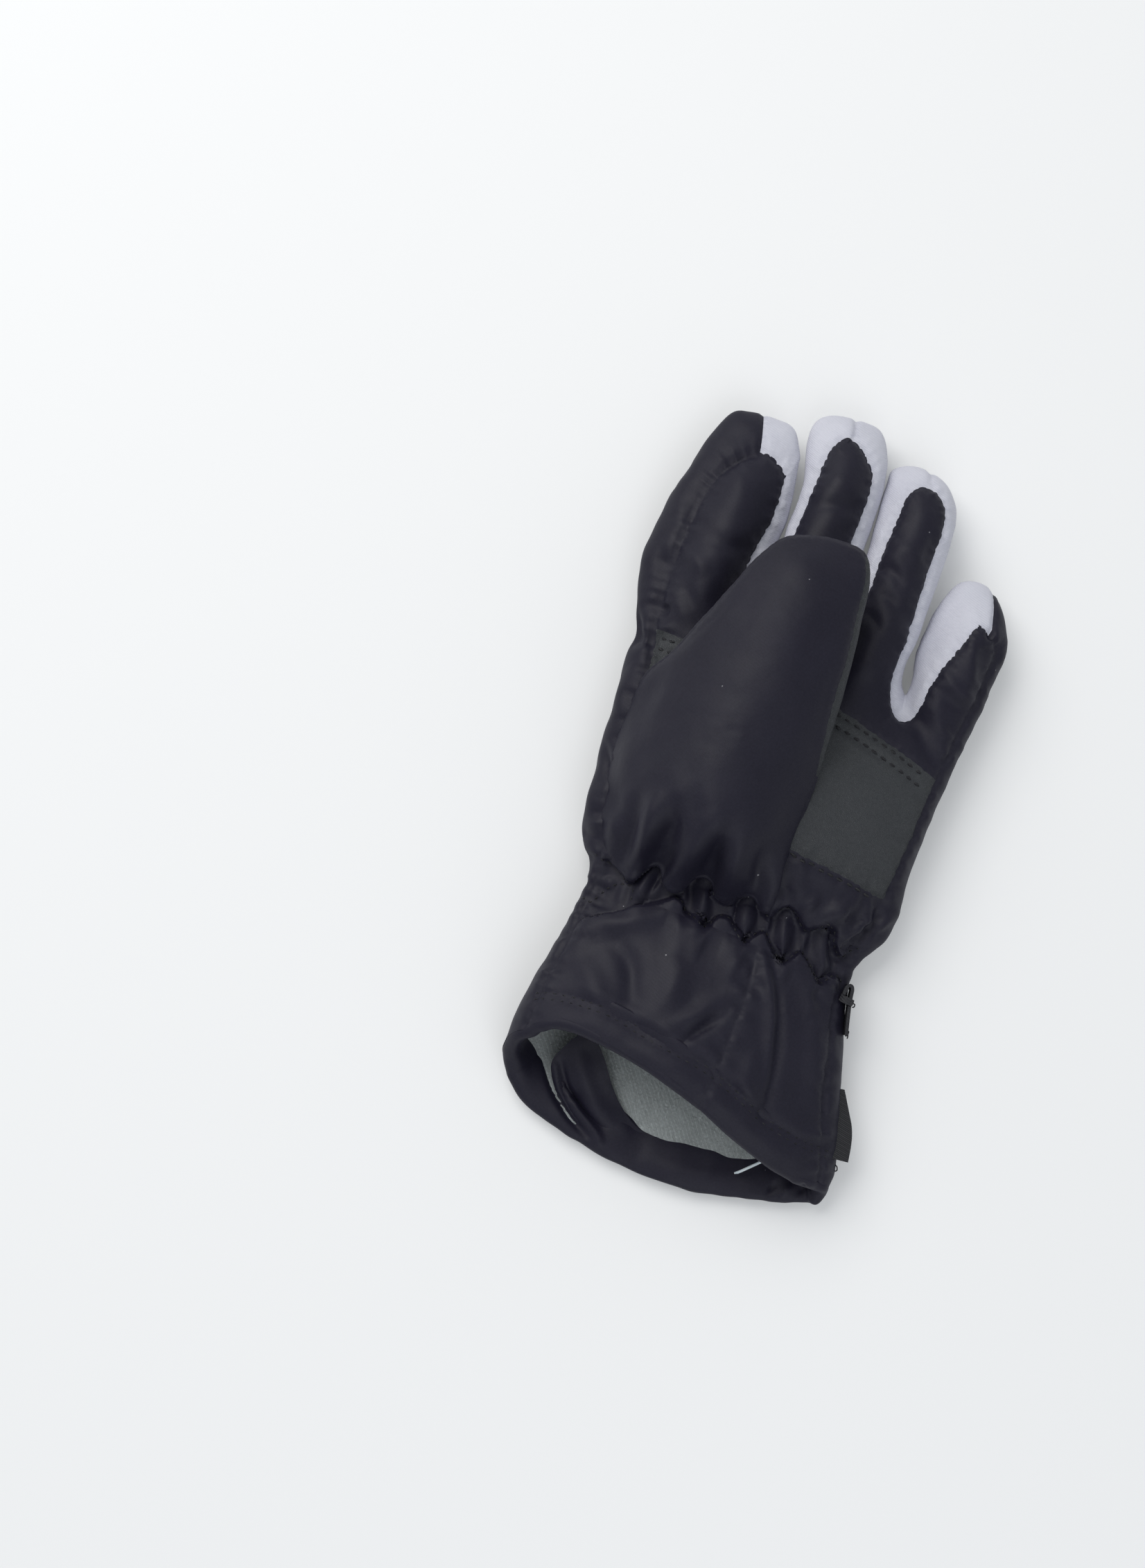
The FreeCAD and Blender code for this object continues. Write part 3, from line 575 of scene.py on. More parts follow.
STRIP_PANELS = [(0, "cuff_front_left_panel"), (wrist_columns[0], "index_side_strip")]
FOURCHETTES = ("fourchette_index_middle", "fourchette_middle_ring", "fourchette_ring_little")
for finger, after in zip(FINGERS, (*FOURCHETTES, "little_side_strip")):
    STRIP_PANELS += [
        (root_columns[finger][0], f"{finger}_tip_left_side"),
        (tip_columns[finger], f"{finger}_tip_right_side"),
        (root_columns[finger][1], after),
    ]
STRIP_PANELS.append((wrist_columns[1], "cuff_front_right_panel"))
strip_starts = [start for start, _ in STRIP_PANELS]
for column in range(columns - 1):
    panel = STRIP_PANELS[int(np.searchsorted(strip_starts, column, side="right")) - 1][1]
    for row in range(STRIP_ROWS):
        upper, lower = strip_rows[row], strip_rows[row + 1]
        corners = (upper[column], upper[column + 1], lower[column + 1], lower[column])
        shell.add_face(corners, panel)

points = np.array(shell.points)


def neighbour_pairs(faces):
    """Every edge of some faces once, as two arrays of point numbers."""
    pairs = {tuple(sorted(pair)) for face in faces for pair in zip(face, face[1:] + face[:1])}
    pairs = np.array(sorted(pairs))
    return pairs[:, 0], pairs[:, 1]


def neighbour_mean(values, first, second, counts):
    """The mean of each point's neighbours."""
    total = np.zeros_like(values)
    np.add.at(total, first, values[second])
    np.add.at(total, second, values[first])
    return total / counts


DOME_ROUNDS = 400


def solved_heights(points, faces, source, held):
    """Z of a net's points, as a smooth dome between those that are held."""
    first, second = neighbour_pairs(faces)
    size = len(points)
    counts = np.bincount(np.concatenate([first, second]), minlength=size)
    free = ~held & (counts > 0)

    def pull(values):
        total = np.bincount(first, values[second], size)
        total += np.bincount(second, values[first], size)
        return (counts * values - total) * free

    heights = points[:, 2].copy()
    edge = np.linalg.norm(points[first, :2] - points[second, :2], axis=1) ** 2
    reach = np.bincount(first, edge, size) + np.bincount(second, edge, size)
    reach /= np.maximum(counts, 1)
    rest = counts * source * free * reach / 4 - pull(heights)
    way = rest.copy()
    for _ in range(DOME_ROUNDS):
        pulled = pull(way)
        share = (rest @ rest) / max(way @ pulled, 1e-12)
        heights += share * way
        left = rest - share * pulled
        way = left + way * (left @ left) / max(rest @ rest, 1e-12)
        rest = left
    return heights


# The padded forms before the cloth is blown up: each span of cloth is domed between its seams.
DOMES = {
    "palm_upper_panel": 0.031, "palm_patch": 0.027, "palm_lower_panel": 0.03,
    "cuff_front_left_panel": 0.02, "cuff_front_right_panel": 0.02,
    "index_tip_front": 0.16, "middle_tip_front": 0.2, "ring_tip_front": 0.21,
    "little_tip_front": 0.18,
}
WRIST_HEIGHT = 20.5
BACK_LOW_Z = 0.8
flat_faces = [n for n, face in enumerate(shell.faces) if len(face) == 3]
source = np.zeros(len(points))
for number in flat_faces:
    source[list(shell.faces[number])] = DOMES.get(shell.panels[number], 0)
held = np.zeros(len(points), bool)
held[: columns * (STRIP_ROWS + 1)] = True
held[palm_hem] = held[back_hem] = True
for line in (front_wrist, gather_row):
    edge = np.interp(np.linspace(0, 1, len(line)), [0, 1], points[[line[0], line[-1]], 2])
    points[line, 2] = edge + (WRIST_HEIGHT - edge) * (1 - np.linspace(-1, 1, len(line)) ** 4)
    held[line] = True
points[:, 2] = solved_heights(points, [shell.faces[n] for n in flat_faces], source, held)
on_back = np.zeros(len(points), bool)
for number in flat_faces:
    if shell.panels[number].endswith("back") or "back_panel" in shell.panels[number]:
        on_back[list(shell.faces[number])] = True
on_back &= ~held
edge_gap = distance_to(points[on_back], [points[back_seam]])
sunk = points[on_back, 2] - (BACK_SEAM_Z - BACK_LOW_Z) * (1 - np.exp(-edge_gap / 2.5))
points[on_back, 2] = np.maximum(BACK_LOW_Z, sunk)

# ------------------------------------------------------------------ blowing up the padded cloth
# The wadding pushes the cloth out between its seams, and there is a little more cloth than room,
# so it settles in soft wrinkles. The seams stay where they are.

ROOM = 0.01  # the simulation's metres for each millimetre of the glove
PRESSURE = 3.0
STIFFNESS = 12
BLOWING_FRAMES = 24
BLOWN_MOST = 3.0  # how far the wadding can push a point, in millimetres
STRIP_MOST = 0.9
ROOT_MOST = 1.5
TABLE_GAP = 0.4
STRIP_HOLD = 0.12  # how firmly the flat fourchettes are held, next to 1 at a seam
SPARE, SPARE_IN_STRIPS, SPARE_AT_WRIST = 0.035, 0.05, 0.05  # shares of extra cloth


def blown(points, faces, pinned, spare):
    """The points of a cloth after its padding has pushed it out.

    pinned is how firmly each point is held, spare is the share of extra cloth at each point.
    """
    mesh = bpy.data.meshes.new("cloth")
    mesh.from_pydata((points * ROOM).tolist(), [], faces)
    cloth_object = bpy.data.objects.new("cloth", mesh)
    bpy.context.collection.objects.link(cloth_object)
    for name, values in (("pin", pinned), ("spare", spare / max(spare.max(), 1e-6))):
        group = cloth_object.vertex_groups.new(name=name)
        for weight in np.unique(np.round(values, 2)):
            chosen = np.flatnonzero(np.round(values, 2) == weight)
            if weight > 0:
                group.add(chosen.tolist(), float(weight), "REPLACE")
    modifier = cloth_object.modifiers.new("cloth", "CLOTH")
    settings = modifier.settings
    settings.quality = 6
    settings.mass = 0.3
    settings.tension_stiffness = settings.compression_stiffness = STIFFNESS
    settings.shear_stiffness = STIFFNESS * 0.4
    settings.bending_stiffness = 0.35
    settings.tension_damping = settings.compression_damping = 5
    settings.shear_damping = 5
    settings.bending_damping = 0.5
    settings.air_damping = 3
    settings.use_pressure = True
    settings.uniform_pressure_force = PRESSURE
    settings.vertex_group_mass = "pin"
    settings.pin_stiffness = 5
    settings.vertex_group_shrink = "spare"
    settings.shrink_min = 0
    settings.shrink_max = -float(spare.max())
    settings.effector_weights.gravity = 0
    modifier.collision_settings.use_collision = False
    modifier.collision_settings.use_self_collision = False
    modifier.point_cache.frame_end = BLOWING_FRAMES
    scene = bpy.context.scene
    for frame_number in range(1, BLOWING_FRAMES + 1):
        scene.frame_set(frame_number)
    posed = cloth_object.evaluated_get(bpy.context.evaluated_depsgraph_get())
    result = np.empty(len(points) * 3)
    posed.data.vertices.foreach_get("co", result)
    scene.frame_set(1)
    bpy.data.objects.remove(cloth_object)
    bpy.data.meshes.remove(mesh)
    return result.reshape(-1, 3) / ROOM


def capped(start, moved, most):
    """The moved points, none of them further from its start than it may go."""
    step = moved - start
    length = np.linalg.norm(step, axis=1)
    limit = most * np.tanh(length / np.maximum(most, 1e-6))
    return start + step * (limit / np.maximum(length, 1e-9))[:, None]


panel_of = [""] * len(points)
for face, panel in zip(shell.faces, shell.panels):
    for corner in face:
        panel_of[corner] = panel
panel_of = np.array(panel_of)
strip_count = columns * (STRIP_ROWS + 1)
is_grey = np.char.startswith(panel_of, "fourchette")
for finger, sides in {
    "index": ("right",), "middle": ("left", "right"), "ring": ("left", "right"), "little": ("left",)
}.items():
    for side in sides:
        is_grey |= panel_of == f"{finger}_tip_{side}_side"
pinned = np.zeros(len(points))
pinned[front_seam + back_seam + palm_hem + back_hem + front_wrist + gather_row] = 1
grey_strip = is_grey & (np.arange(len(points)) < strip_count)
pinned[grey_strip] = np.maximum(pinned[grey_strip], STRIP_HOLD)
spare = np.full(len(points), SPARE)
spare[is_grey] = SPARE_IN_STRIPS
near_wrist = np.exp(-((points[:, 1] - 2) / 14) ** 2)
spare += SPARE_AT_WRIST * near_wrist
most = np.full(len(points), BLOWN_MOST)
most[is_grey] = STRIP_MOST
at_roots = np.abs(points[:, 1] - 75) < 8
most[at_roots] = np.minimum(most[at_roots], ROOT_MOST)
points = capped(points, blown(points, shell.faces, pinned, spare), most)
points[:, 2] = np.maximum(points[:, 2], TABLE_GAP)

# ------------------------------------------------------------------ seams, gathers and folds
# The stitches pull the cloth in along every seam and pucker it between them. The wrist's elastic
# gathers it in ribs, and soft folds run where the photographed glove has them.


def subdivided(points, faces, panels):
    """The same surface with every face divided in four and rounded."""
    names = sorted(set(panels))
    mesh = bpy.data.meshes.new("coarse")
    mesh.from_pydata(points.tolist(), [], faces)
    for _ in names:
        mesh.materials.append(None)
    numbers = {name: number for number, name in enumerate(names)}
    mesh.polygons.foreach_set("material_index", [numbers[panel] for panel in panels])
    coarse = bpy.data.objects.new("coarse", mesh)
    bpy.context.collection.objects.link(coarse)
    modifier = coarse.modifiers.new("rounding", "SUBSURF")
    modifier.levels = 1
    fine = coarse.evaluated_get(bpy.context.evaluated_depsgraph_get()).data
    places = np.empty(len(fine.vertices) * 3)
    fine.vertices.foreach_get("co", places)
    quads = np.empty(len(fine.loops), int)
    fine.loops.foreach_get("vertex_index", quads)
    owners = np.empty(len(fine.polygons), int)
    fine.polygons.foreach_get("material_index", owners)
    bpy.data.objects.remove(coarse)
    bpy.data.meshes.remove(mesh)
    return places.reshape(-1, 3), quads.reshape(-1, 4), np.array(names)[owners]


def point_normals(points, quads):
    """Outward normals at the points of a net of four-sided faces."""
    corners = points[quads]
    face_normals = np.cross(corners[:, 2] - corners[:, 0], corners[:, 3] - corners[:, 1])
    normals = np.zeros_like(points)
    for corner in range(4):
        np.add.at(normals, quads[:, corner], face_normals)
    return normals / np.maximum(np.linalg.norm(normals, axis=1), 1e-9)[:, None]


LINE_SPACING = 0.4


def line_tree(line):
    """A search tree of a line's places, with each place's distance along it."""
    rows = smooth_line(line, max(int(line_length(line) / LINE_SPACING), 4))
    tree = KDTree(len(rows))
    for number, row in enumerate(rows):
        tree.insert(row, number)
    tree.balance()
    length = np.concatenate([[0], np.cumsum(np.linalg.norm(np.diff(rows, axis=0), axis=1))])
    return tree, length


def near_line(points, line, reach):
    """Points within reach of a line: their numbers, distances, and places along it."""
    low, high = np.min(line, axis=0) - reach, np.max(line, axis=0) + reach
    close = np.flatnonzero(((points > low) & (points < high)).all(axis=1))
    tree, length = line_tree(line)
    chosen, gaps, places = [], [], []
    for number in close:
        _, index, gap = tree.find(points[number])
        if gap < reach:
            chosen.append(number)
            gaps.append(gap)
            places.append(length[index])
    return np.array(chosen, int), np.array(gaps), np.array(places)


def sink(points, normals, line, width, depth, pucker):
    """Pulls the surface in along a line, and puckers it at the stitches' pitch."""
    chosen, gaps, places = near_line(points, line, width * 3.2)
    if not len(chosen):
        return
    amount = -depth * np.exp(-((gaps / width) ** 2))
    beside = gaps / width * np.exp(1 - gaps / width)
    amount += pucker * beside * np.cos(places * math.tau / STITCH_PITCH)
    points[chosen] += normals[chosen] * amount[:, None]


def gathered(points, normals, line, reach, height, pitch, seed):
    """Small irregular folds that run away from a seam, where its stitches gather the cloth."""
    chosen, gaps, places = near_line(points, line, reach)
    spots = zip(places / pitch, gaps / pitch / 4)
    folds = [noise.noise(Vector((place, gap, seed))) for place, gap in spots]
    fade = (1 - gaps / reach) ** 1.5 * np.minimum(0.1 + gaps / 1.8, 1)
    points[chosen] += normals[chosen] * (2 * height * np.array(folds) * fade)[:, None]


seam_lines = {
    "front": points[front_seam],
    "back": points[back_seam],
    "patch_top": points[patch_lines[0]],
    "patch_bottom": points[patch_lines[1]],
    "cuff": points[cuff_seam],
}
tip_seam_lines = {
    finger: points[[row[column] for row in strip_rows]] for finger, column in tip_columns.items()
}
fine, quads, owners = subdivided(points, shell.faces, shell.panels)
normals = point_normals(fine, quads)


def smooth_step(values):
    """0 below 0, 1 above 1 and a soft slope between."""
    share = np.clip(values, 0, 1)
    return share * share * (3 - 2 * share)


def to_line(places, line):
    """Distance of 2-D places from a smooth line, and how far along it each one is, 0 to 1."""
    rows = smooth_line([(*place, 0) for place in line], 18)[:, :2]
    best, share = np.full(len(places), 1e9), np.zeros(len(places))
    for number, (start, stop) in enumerate(zip(rows, rows[1:])):
        way = stop - start
        t = np.clip((places - start) @ way / (way @ way), 0, 1)
        gap = np.linalg.norm(places - start - t[:, None] * way, axis=1)
        share = np.where(gap < best, (number + t) / (len(rows) - 1), share)
        best = np.minimum(best, gap)
    return best, share


def towards_eye(normals):
    """1 where a surface faces the eye and 0 where it faces away."""
    return smooth_step((normals @ -looking) * 2.5)


def folded(points, normals, folds, reach=1.0):
    """Raises soft folds, or sinks those with a minus height, along lines given as they are seen."""
    towards = towards_eye(normals) * reach
    places = plane_of(points)
    for line, width, height in folds:
        low, high = np.min(line, axis=0) - 3 * width, np.max(line, axis=0) + 3 * width
        near = np.flatnonzero(((places > low) & (places < high)).all(axis=1) & (towards > 0))
        gap, share = to_line(places[near], line)
        lift = height * np.exp(-((gap / width) ** 2)) * (0.35 + 0.65 * np.sin(math.pi * share))
        points[near] += normals[near] * (lift * towards[near])[:, None]


# The wrist: cloth is gathered between two wavy rows of stitches, given as they are seen.
UPPER_ROW = [
    (-44, 8), (-40, 6), (-37, 5), (-35, 5), (-32, 4.5), (-30, 3), (-28, 2), (-25, 7.5), (-23, 9.5),
    (-21, 9.5), (-19, 6), (-17, 4.5), (-14, 5), (-12.5, 8), (-10.5, 10.5), (-8, 11), (-6, 10),
    (-5, 7), (-3, 6.5), (-1, 6.3), (2, 9), (4.5, 10.5), (6.5, 10), (8, 8.5), (10.5, 7), (12, 6.8),
    (13.5, 9.5), (15.5, 11), (18, 10), (20, 8), (22.5, 6.8), (25.5, 9), (27, 10.5), (29.5, 9.5),
    (30.5, 6.5), (32.5, 4), (34, 3.5), (36, 6.6), (38.5, 8), (44, 9),
]
LOWER_ROW = [
    (-44, -8), (-38.5, -6.5), (-36, -7), (-34.5, -5), (-32.5, -1.5), (-30, 0.5), (-26.5, 1),
    (-25.5, -2.5), (-23.5, -2.8), (-19, 0), (-15, 2.8), (-12, 2), (-10.5, 0), (-7.5, -0.8),
    (-4.5, -2), (-3, -1), (-2.5, 1), (-1, 2.5), (1.5, 2.5), (3, 1), (5, -0.8), (7.5, -2.2),
    (9, 0.5), (11, 2.5), (12.5, 2.2), (14, 0.5), (16, -1.5), (19, -3.8), (20.5, -2), (22.5, 1),
    (24, 0.5), (26, -1), (28, -3), (30.5, -5.5), (32, -4), (33.5, -2), (35.5, -2), (37, -4.5),
    (44, -6),
]
CUFF_BROW = [
    (-44, -19), (-39.5, -17), (-36.3, -13), (-32.3, -9.9), (-23.6, -3.7), (-18, 0), (-14.4, 3.2)
]
RIBS = [
    ([(-37, 4), (-36.5, -6.5)], 1.7, 1.3), ([(-33, 2), (-32, -2)], 1.6, 1.3),
    ([(-28.5, 1.5), (-28, -5)], 1.5, 0.9), ([(-23.4, 7), (-24, -4)], 2.1, 2.2),
    ([(-19.5, 5), (-20.5, 0)], 1.2, 0.8), ([(-8.2, 8.2), (-6.8, 4), (-6, -3)], 2.2, 2.4),
    ([(4.7, 8), (5.5, 4), (7, -3)], 2.1, 2.4), ([(15.6, 9), (16.5, 4), (19, -4.5)], 2.1, 2.4),
    ([(27.2, 8.5), (28, 3), (30.5, -6)], 2.0, 2.3), ([(34, 3), (34.5, -2)], 1.3, 0.9),
    ([(-5, 7), (-3.6, 2)], 0.9, -0.6), ([(8, 8), (9, 2)], 0.9, -0.6),
    ([(19.5, 8), (20.8, 1)], 0.9, -0.6), ([(-12, 8), (-10, 2)], 0.9, -0.6),
    ([(1.6, 8), (2.8, 2)], 0.9, -0.6), ([(13, 8), (13.6, 2)], 0.9, -0.6),
    ([(24, 8), (25, 1)], 0.9, -0.6), ([(30, 7), (32, -1)], 0.9, -0.6),
    ([(-20.8, 7), (-21.6, 1)], 0.9, -0.9), ([(-13, 6), (-12, 2)], 1.1, 0.7),
    ([(0.5, 7), (1, 3)], 1.0, 0.7), ([(11.5, 6.5), (12, 2.8)], 1.0, 0.8),
    ([(22.5, 6), (23, 1.5)], 1.1, 0.8),
]
BAND_DEPTH = 2.5
BAND_EDGE = 1.2
BAND_HALF_WIDTH = 38.5
PUFF_ABOVE, PUFF_BELOW = 1.1, 1.3  # how far the cloth swells on the two sides of the band


def row_at(line, x):
    """Y of a stitch row at each x."""
    rows = np.array(line, float)
    rows = smooth_line(np.column_stack([rows, np.zeros(len(rows))]), 400)
    order = np.argsort(rows[:, 0])
    return np.interp(x, rows[order, 0], rows[order, 1])


places = plane_of(fine)
towards = towards_eye(normals)
upper = row_at(UPPER_ROW, places[:, 0])
lower = row_at(LOWER_ROW, places[:, 0])
brow = row_at(CUFF_BROW, places[:, 0])
floor_of_band = np.where(places[:, 0] < -14.4, np.minimum(brow, lower), lower)
below_upper = smooth_step((upper - places[:, 1]) / BAND_EDGE + 0.5)
above_lower = smooth_step((places[:, 1] - floor_of_band) / BAND_EDGE + 0.5)
edge_ease = smooth_step((BAND_HALF_WIDTH - np.abs(places[:, 0])) / 5)
dip = BAND_DEPTH * below_upper * above_lower * edge_ease
puff = PUFF_ABOVE * np.exp(-(((places[:, 1] - upper - 4.5) / 4) ** 2)) * edge_ease
puff += PUFF_BELOW * np.exp(-(((floor_of_band - places[:, 1] - 4.5) / 4.2) ** 2)) * edge_ease
fine += normals * ((puff - dip) * towards)[:, None]
normals = point_normals(fine, quads)
folded(fine, normals, RIBS)

# At the back and the sides the elastic gathers the cloth in straight narrow ribs.
RIB_PITCH = 5.6
RIB_LEAN = 0.06
BACK_BAND_DEPTH = 1.6
BACK_RIB_DEPTH = 1.7


def uneven(places, spacing, least, most):
    """A value that wanders between two others along X, with a new draw at every spacing."""
    marks = np.arange(-50, 51, spacing)
    return np.interp(places[:, 0], marks, [stitch_pull.uniform(least, most) for _ in marks])


rib_shift = uneven(fine, 4, -1.6, 1.6)
rib_size = uneven(fine, 5, 0.45, 1.1)
rib_place = fine[:, 0] + rib_shift + RIB_LEAN * (fine[:, 1] - 3)
rib_wave = 0.5 + 0.5 * np.cos(rib_place * math.tau / RIB_PITCH)
away = 1 - towards
in_band = smooth_step((GATHER_Y + 1 - fine[:, 1]) / 2.4)
in_band *= smooth_step((fine[:, 1] - WRIST_Y + 1) / 2.4)
beside = np.exp(-(((fine[:, 1] - (GATHER_Y + WRIST_Y) / 2) / 13) ** 2))
ribs = BACK_RIB_DEPTH * beside * (1 - rib_wave) * rib_size
fine -= normals * (away * (BACK_BAND_DEPTH * in_band + ribs))[:, None]
normals = point_normals(fine, quads)

# Soft folds of the hand, the fingers and the cuff: the line, its half width and its height.
SHELL_FOLDS = [
    ([(-45, 10), (-35, 9), (-32, 7)], 1.4, -1.0), ([(13, 17), (14, 12)], 2, -0.9),
    ([(31, 24), (31, 18), (27, 12), (24, 8)], 2.2, 1.0),
    ([(38.5, 20), (39.2, 16), (37, 11), (34, 6)], 1.2, -1.9),
    ([(36.5, 19), (36.5, 15), (34, 10)], 1.5, 0.9),
    ([(22, 17), (20, 12)], 1.6, 0.7), ([(44, 20), (40, 15), (36, 8)], 1.5, 0.9),
    ([(30, 78), (37, 72), (42, 64)], 2.6, 0.8), ([(29, 73), (35, 66), (40, 61)], 2.2, -0.6),
    ([(-47.5, 70), (-45, 64), (-42, 57)], 1.2, -1.1), ([(-53, 72), (-50, 66), (-51, 63)], 1.2, -0.9),
    ([(-46, 60), (-48, 50), (-47, 42)], 2.2, 0.8),
    ([(-47.5, 35), (-46, 31), (-44, 27.5), (-42, 26.5)], 1.1, -1.2),
    ([(-48, 26), (-46, 20), (-44, 14)], 1.8, 0.8),
    ([(-43, 99), (-36, 98), (-30, 99)], 2.4, -0.7), ([(-45, 93), (-38, 88)], 2.6, 0.8),
    ([(-44, 85), (-39, 79), (-34, 75)], 2.4, -0.8), ([(-51, 75), (-47, 76), (-44.5, 72)], 1.1, -0.8),
    ([(-36, 124.5), (-41, 121), (-44, 115.5)], 1.1, -0.7), ([(-52, 105), (-50, 98), (-51, 90)], 2.4, 0.7),
    ([(-53, 92), (-50, 86), (-49, 80)], 1.6, -0.6), ([(-40, 118), (-37, 110)], 2.5, 0.5),
    ([(-16, 124), (-12, 125), (-8, 123)], 2.6, 0.5), ([(-18, 116), (-12, 119), (-6, 120)], 2.0, -0.6),
    ([(6, 108), (10, 107), (14, 104)], 1.8, -0.7), ([(8, 100), (11, 100), (15, 98)], 1.5, -0.5),
    ([(5, 94), (9, 93), (12, 90)], 1.8, -0.7), ([(7, 113), (12, 114), (16, 111)], 2.2, 0.5),
    ([(35, 99), (39, 90), (40, 84)], 2.0, 0.8), ([(32, 86), (38, 83), (44, 82)], 1.8, 0.7),
    ([(33, 81), (38, 79), (43, 77)], 1.8, -0.7), ([(44, 97), (45.5, 94)], 1.0, -0.5),
    ([(-37, -16), (-33, -11), (-28, -8)], 2.6, 0.9),
    ([(-25, -15), (-20, -19), (-17, -25), (-15, -31)], 3.0, -1.2),
    ([(-33, -22), (-27, -28), (-24, -34)], 3.5, 0.9),
    ([(-8, -12), (-6, -20), (-8, -28)], 4.0, 1.1),
    ([(14, -5), (20, -13), (25, -25), (28, -36)], 2.2, 1.3),
    ([(16.5, -3), (22, -14), (27, -28), (30, -45)], 1.5, -1.5),
    ([(10, -22), (4, -30), (1, -35)], 1.3, -1.1), ([(7, -19), (2, -26), (-3, -31)], 2.2, 0.8),
    ([(33, -12), (36, -22), (40, -34)], 3.0, 1.0), ([(21, -30), (22, -38), (25, -44)], 2.6, 0.8),
    ([(31, -7), (33, -11)], 1.5, -0.8), ([(-31, -12), (-25, -9), (-20, -5)], 2.0, 0.5),
]
folded(fine, normals, SHELL_FOLDS, 1.4)
normals = point_normals(fine, quads)


def crumpled(points, normals, size, height, seed):
    """Small irregular dents of a given size all over a surface."""
    shift = Vector((seed * 13.7, seed * 7.1, seed * 3.3))
    amounts = [noise.noise(Vector(point) / size + shift) for point in points]
    points += normals * (np.array(amounts) * height)[:, None]


crumpled(fine, normals, 15.0, 0.7, 1)
crumpled(fine, normals, 6.0, 0.28, 2)
normals = point_normals(fine, quads)
index_top, little_top = tip_columns["index"], tip_columns["little"]
for seed, (line, reach, height, pitch) in enumerate((
    (seam_lines["front"][:index_top], 9, 0.8, 3.0),
    (seam_lines["front"][index_top:little_top], 6, 0.6, 2.2),
    (seam_lines["front"][little_top:], 9, 0.75, 3.0),
    (seam_lines["back"], 6, 0.55, 2.4),
    (seam_lines["patch_bottom"], 8, 0.8, 2.8),
    (seam_lines["cuff"], 7, 0.55, 3.2),
), 1):
    gathered(fine, normals, line, reach, height, pitch, seed)

# The stitches pull the cloth in along every seam.
normals = point_normals(fine, quads)
for first, last, pucker in (
    (0, root_columns["index"][0], 0.04),
    (root_columns["index"][0], index_top, 0.05),
    (index_top, little_top, 0.08),
    (little_top, columns - 1, 0.06),
):
    sink(fine, normals, seam_lines["front"][first : last + 1], 0.9, 0.8, pucker)
sink(fine, normals, seam_lines["back"], 0.9, 0.6, 0.06)
for name in ("patch_top", "patch_bottom", "cuff"):
    sink(fine, normals, seam_lines[name], 0.8, 0.45, 0.04)
for line in tip_seam_lines.values():
    sink(fine, normals, line, 0.9, 0.6, 0.08)
HEM_STITCHES = [
    (-41.5, -36), (-38, -34.5), (-30, -33), (-20, -32.7), (-10, -34.5), (0, -36), (10, -37.7),
    (20, -41), (30, -45), (40, -47), (50, -47.5),
]
hem_flat = np.array(HEM_STITCHES)
folded(fine, normals, [(hem_flat, 0.8, -0.75), (hem_flat - [0.2, 1.7], 0.6, -0.4)])
folded(fine, normals, [(hem_flat - [0.6, 5.5], 2.8, 0.8), (hem_flat + [0, 3.2], 1.6, 0.45)])
normals = point_normals(fine, quads)
top_line = softened(seam_lines["patch_top"].copy(), 3)
bottom_line = softened(seam_lines["patch_bottom"].copy(), 3)
PATCH_ROWS = ((top_line, 1.6), (top_line, 4.8), (bottom_line, 1.1))
for line, down in PATCH_ROWS:
    folded(fine, normals, [(plane_of(line)[::6] - [0, down], 0.75, -0.55)])
top_flat = plane_of(top_line)
folded(fine, normals, [(top_flat[::6] - [0, 3.2], 1.1, 0.4), (top_flat[::6] - [0, 6.8], 1.3, 0.35)])
for row in (UPPER_ROW[2:-1], LOWER_ROW[10:-1]):
    parts = [row[first : first + 6] for first in range(0, len(row) - 1, 5)]
    folded(fine, normals, [(part, 0.55, -0.5) for part in parts])
fine[:, 2] = np.maximum(fine[:, 2], 0.3)
normals = point_normals(fine, quads)

# ------------------------------------------------------------------ the shell's panels
# The outside of the glove: black coated nylon with a thin foam behind it, pale grey woven strips
# between the fingers, and a grip patch of pebbled synthetic leather across the palm. Each panel is
# cut out on its own and sewn to its neighbours, so each one is a closed sheet of cloth here.

SKIN = 0.9  # thickness of the cloth with its foam
finishes = {}


def new_group(name, inputs, outputs):
    """A shader node group, with its own input sockets to read from and output sockets to feed."""
    group = bpy.data.node_groups.new(name, "ShaderNodeTree")
    for label, default in inputs.items():
        socket = group.interface.new_socket(label, in_out="INPUT", socket_type="NodeSocketFloat")
        socket.default_value = default
    for label in outputs:
        group.interface.new_socket(label, in_out="OUTPUT", socket_type="NodeSocketFloat")
    return group, group.nodes.new("NodeGroupInput").outputs, group.nodes.new("NodeGroupOutput").inputs


def math_node(tree, operation, first, second):
    """The output of a sum, a product or a comparison of two values."""
    node = new_node(tree, "ShaderNodeMath", {0: first, 1: second}, operation=operation)
    return node.outputs[0]


def placed(tree, group, **values):
    """A node group placed in a material with its own values; an underscore stands for a space."""
    node = new_node(tree, "ShaderNodeGroup", node_tree=group)
    for label, value in values.items():
        node.inputs[label.replace("_", " ")].default_value = value
    return node.outputs


def slanted(tree, direction, frequency, coordinate):
    """Waves of a given frequency, from -1 to 1, that run across a direction."""
    along_it = new_node(
        tree, "ShaderNodeVectorMath", {0: coordinate, 1: direction}, operation="DOT_PRODUCT"
    )
    angle = math_node(tree, "MULTIPLY", along_it.outputs["Value"], frequency)
    return new_node(tree, "ShaderNodeMath", {0: angle}, operation="SINE").outputs[0]


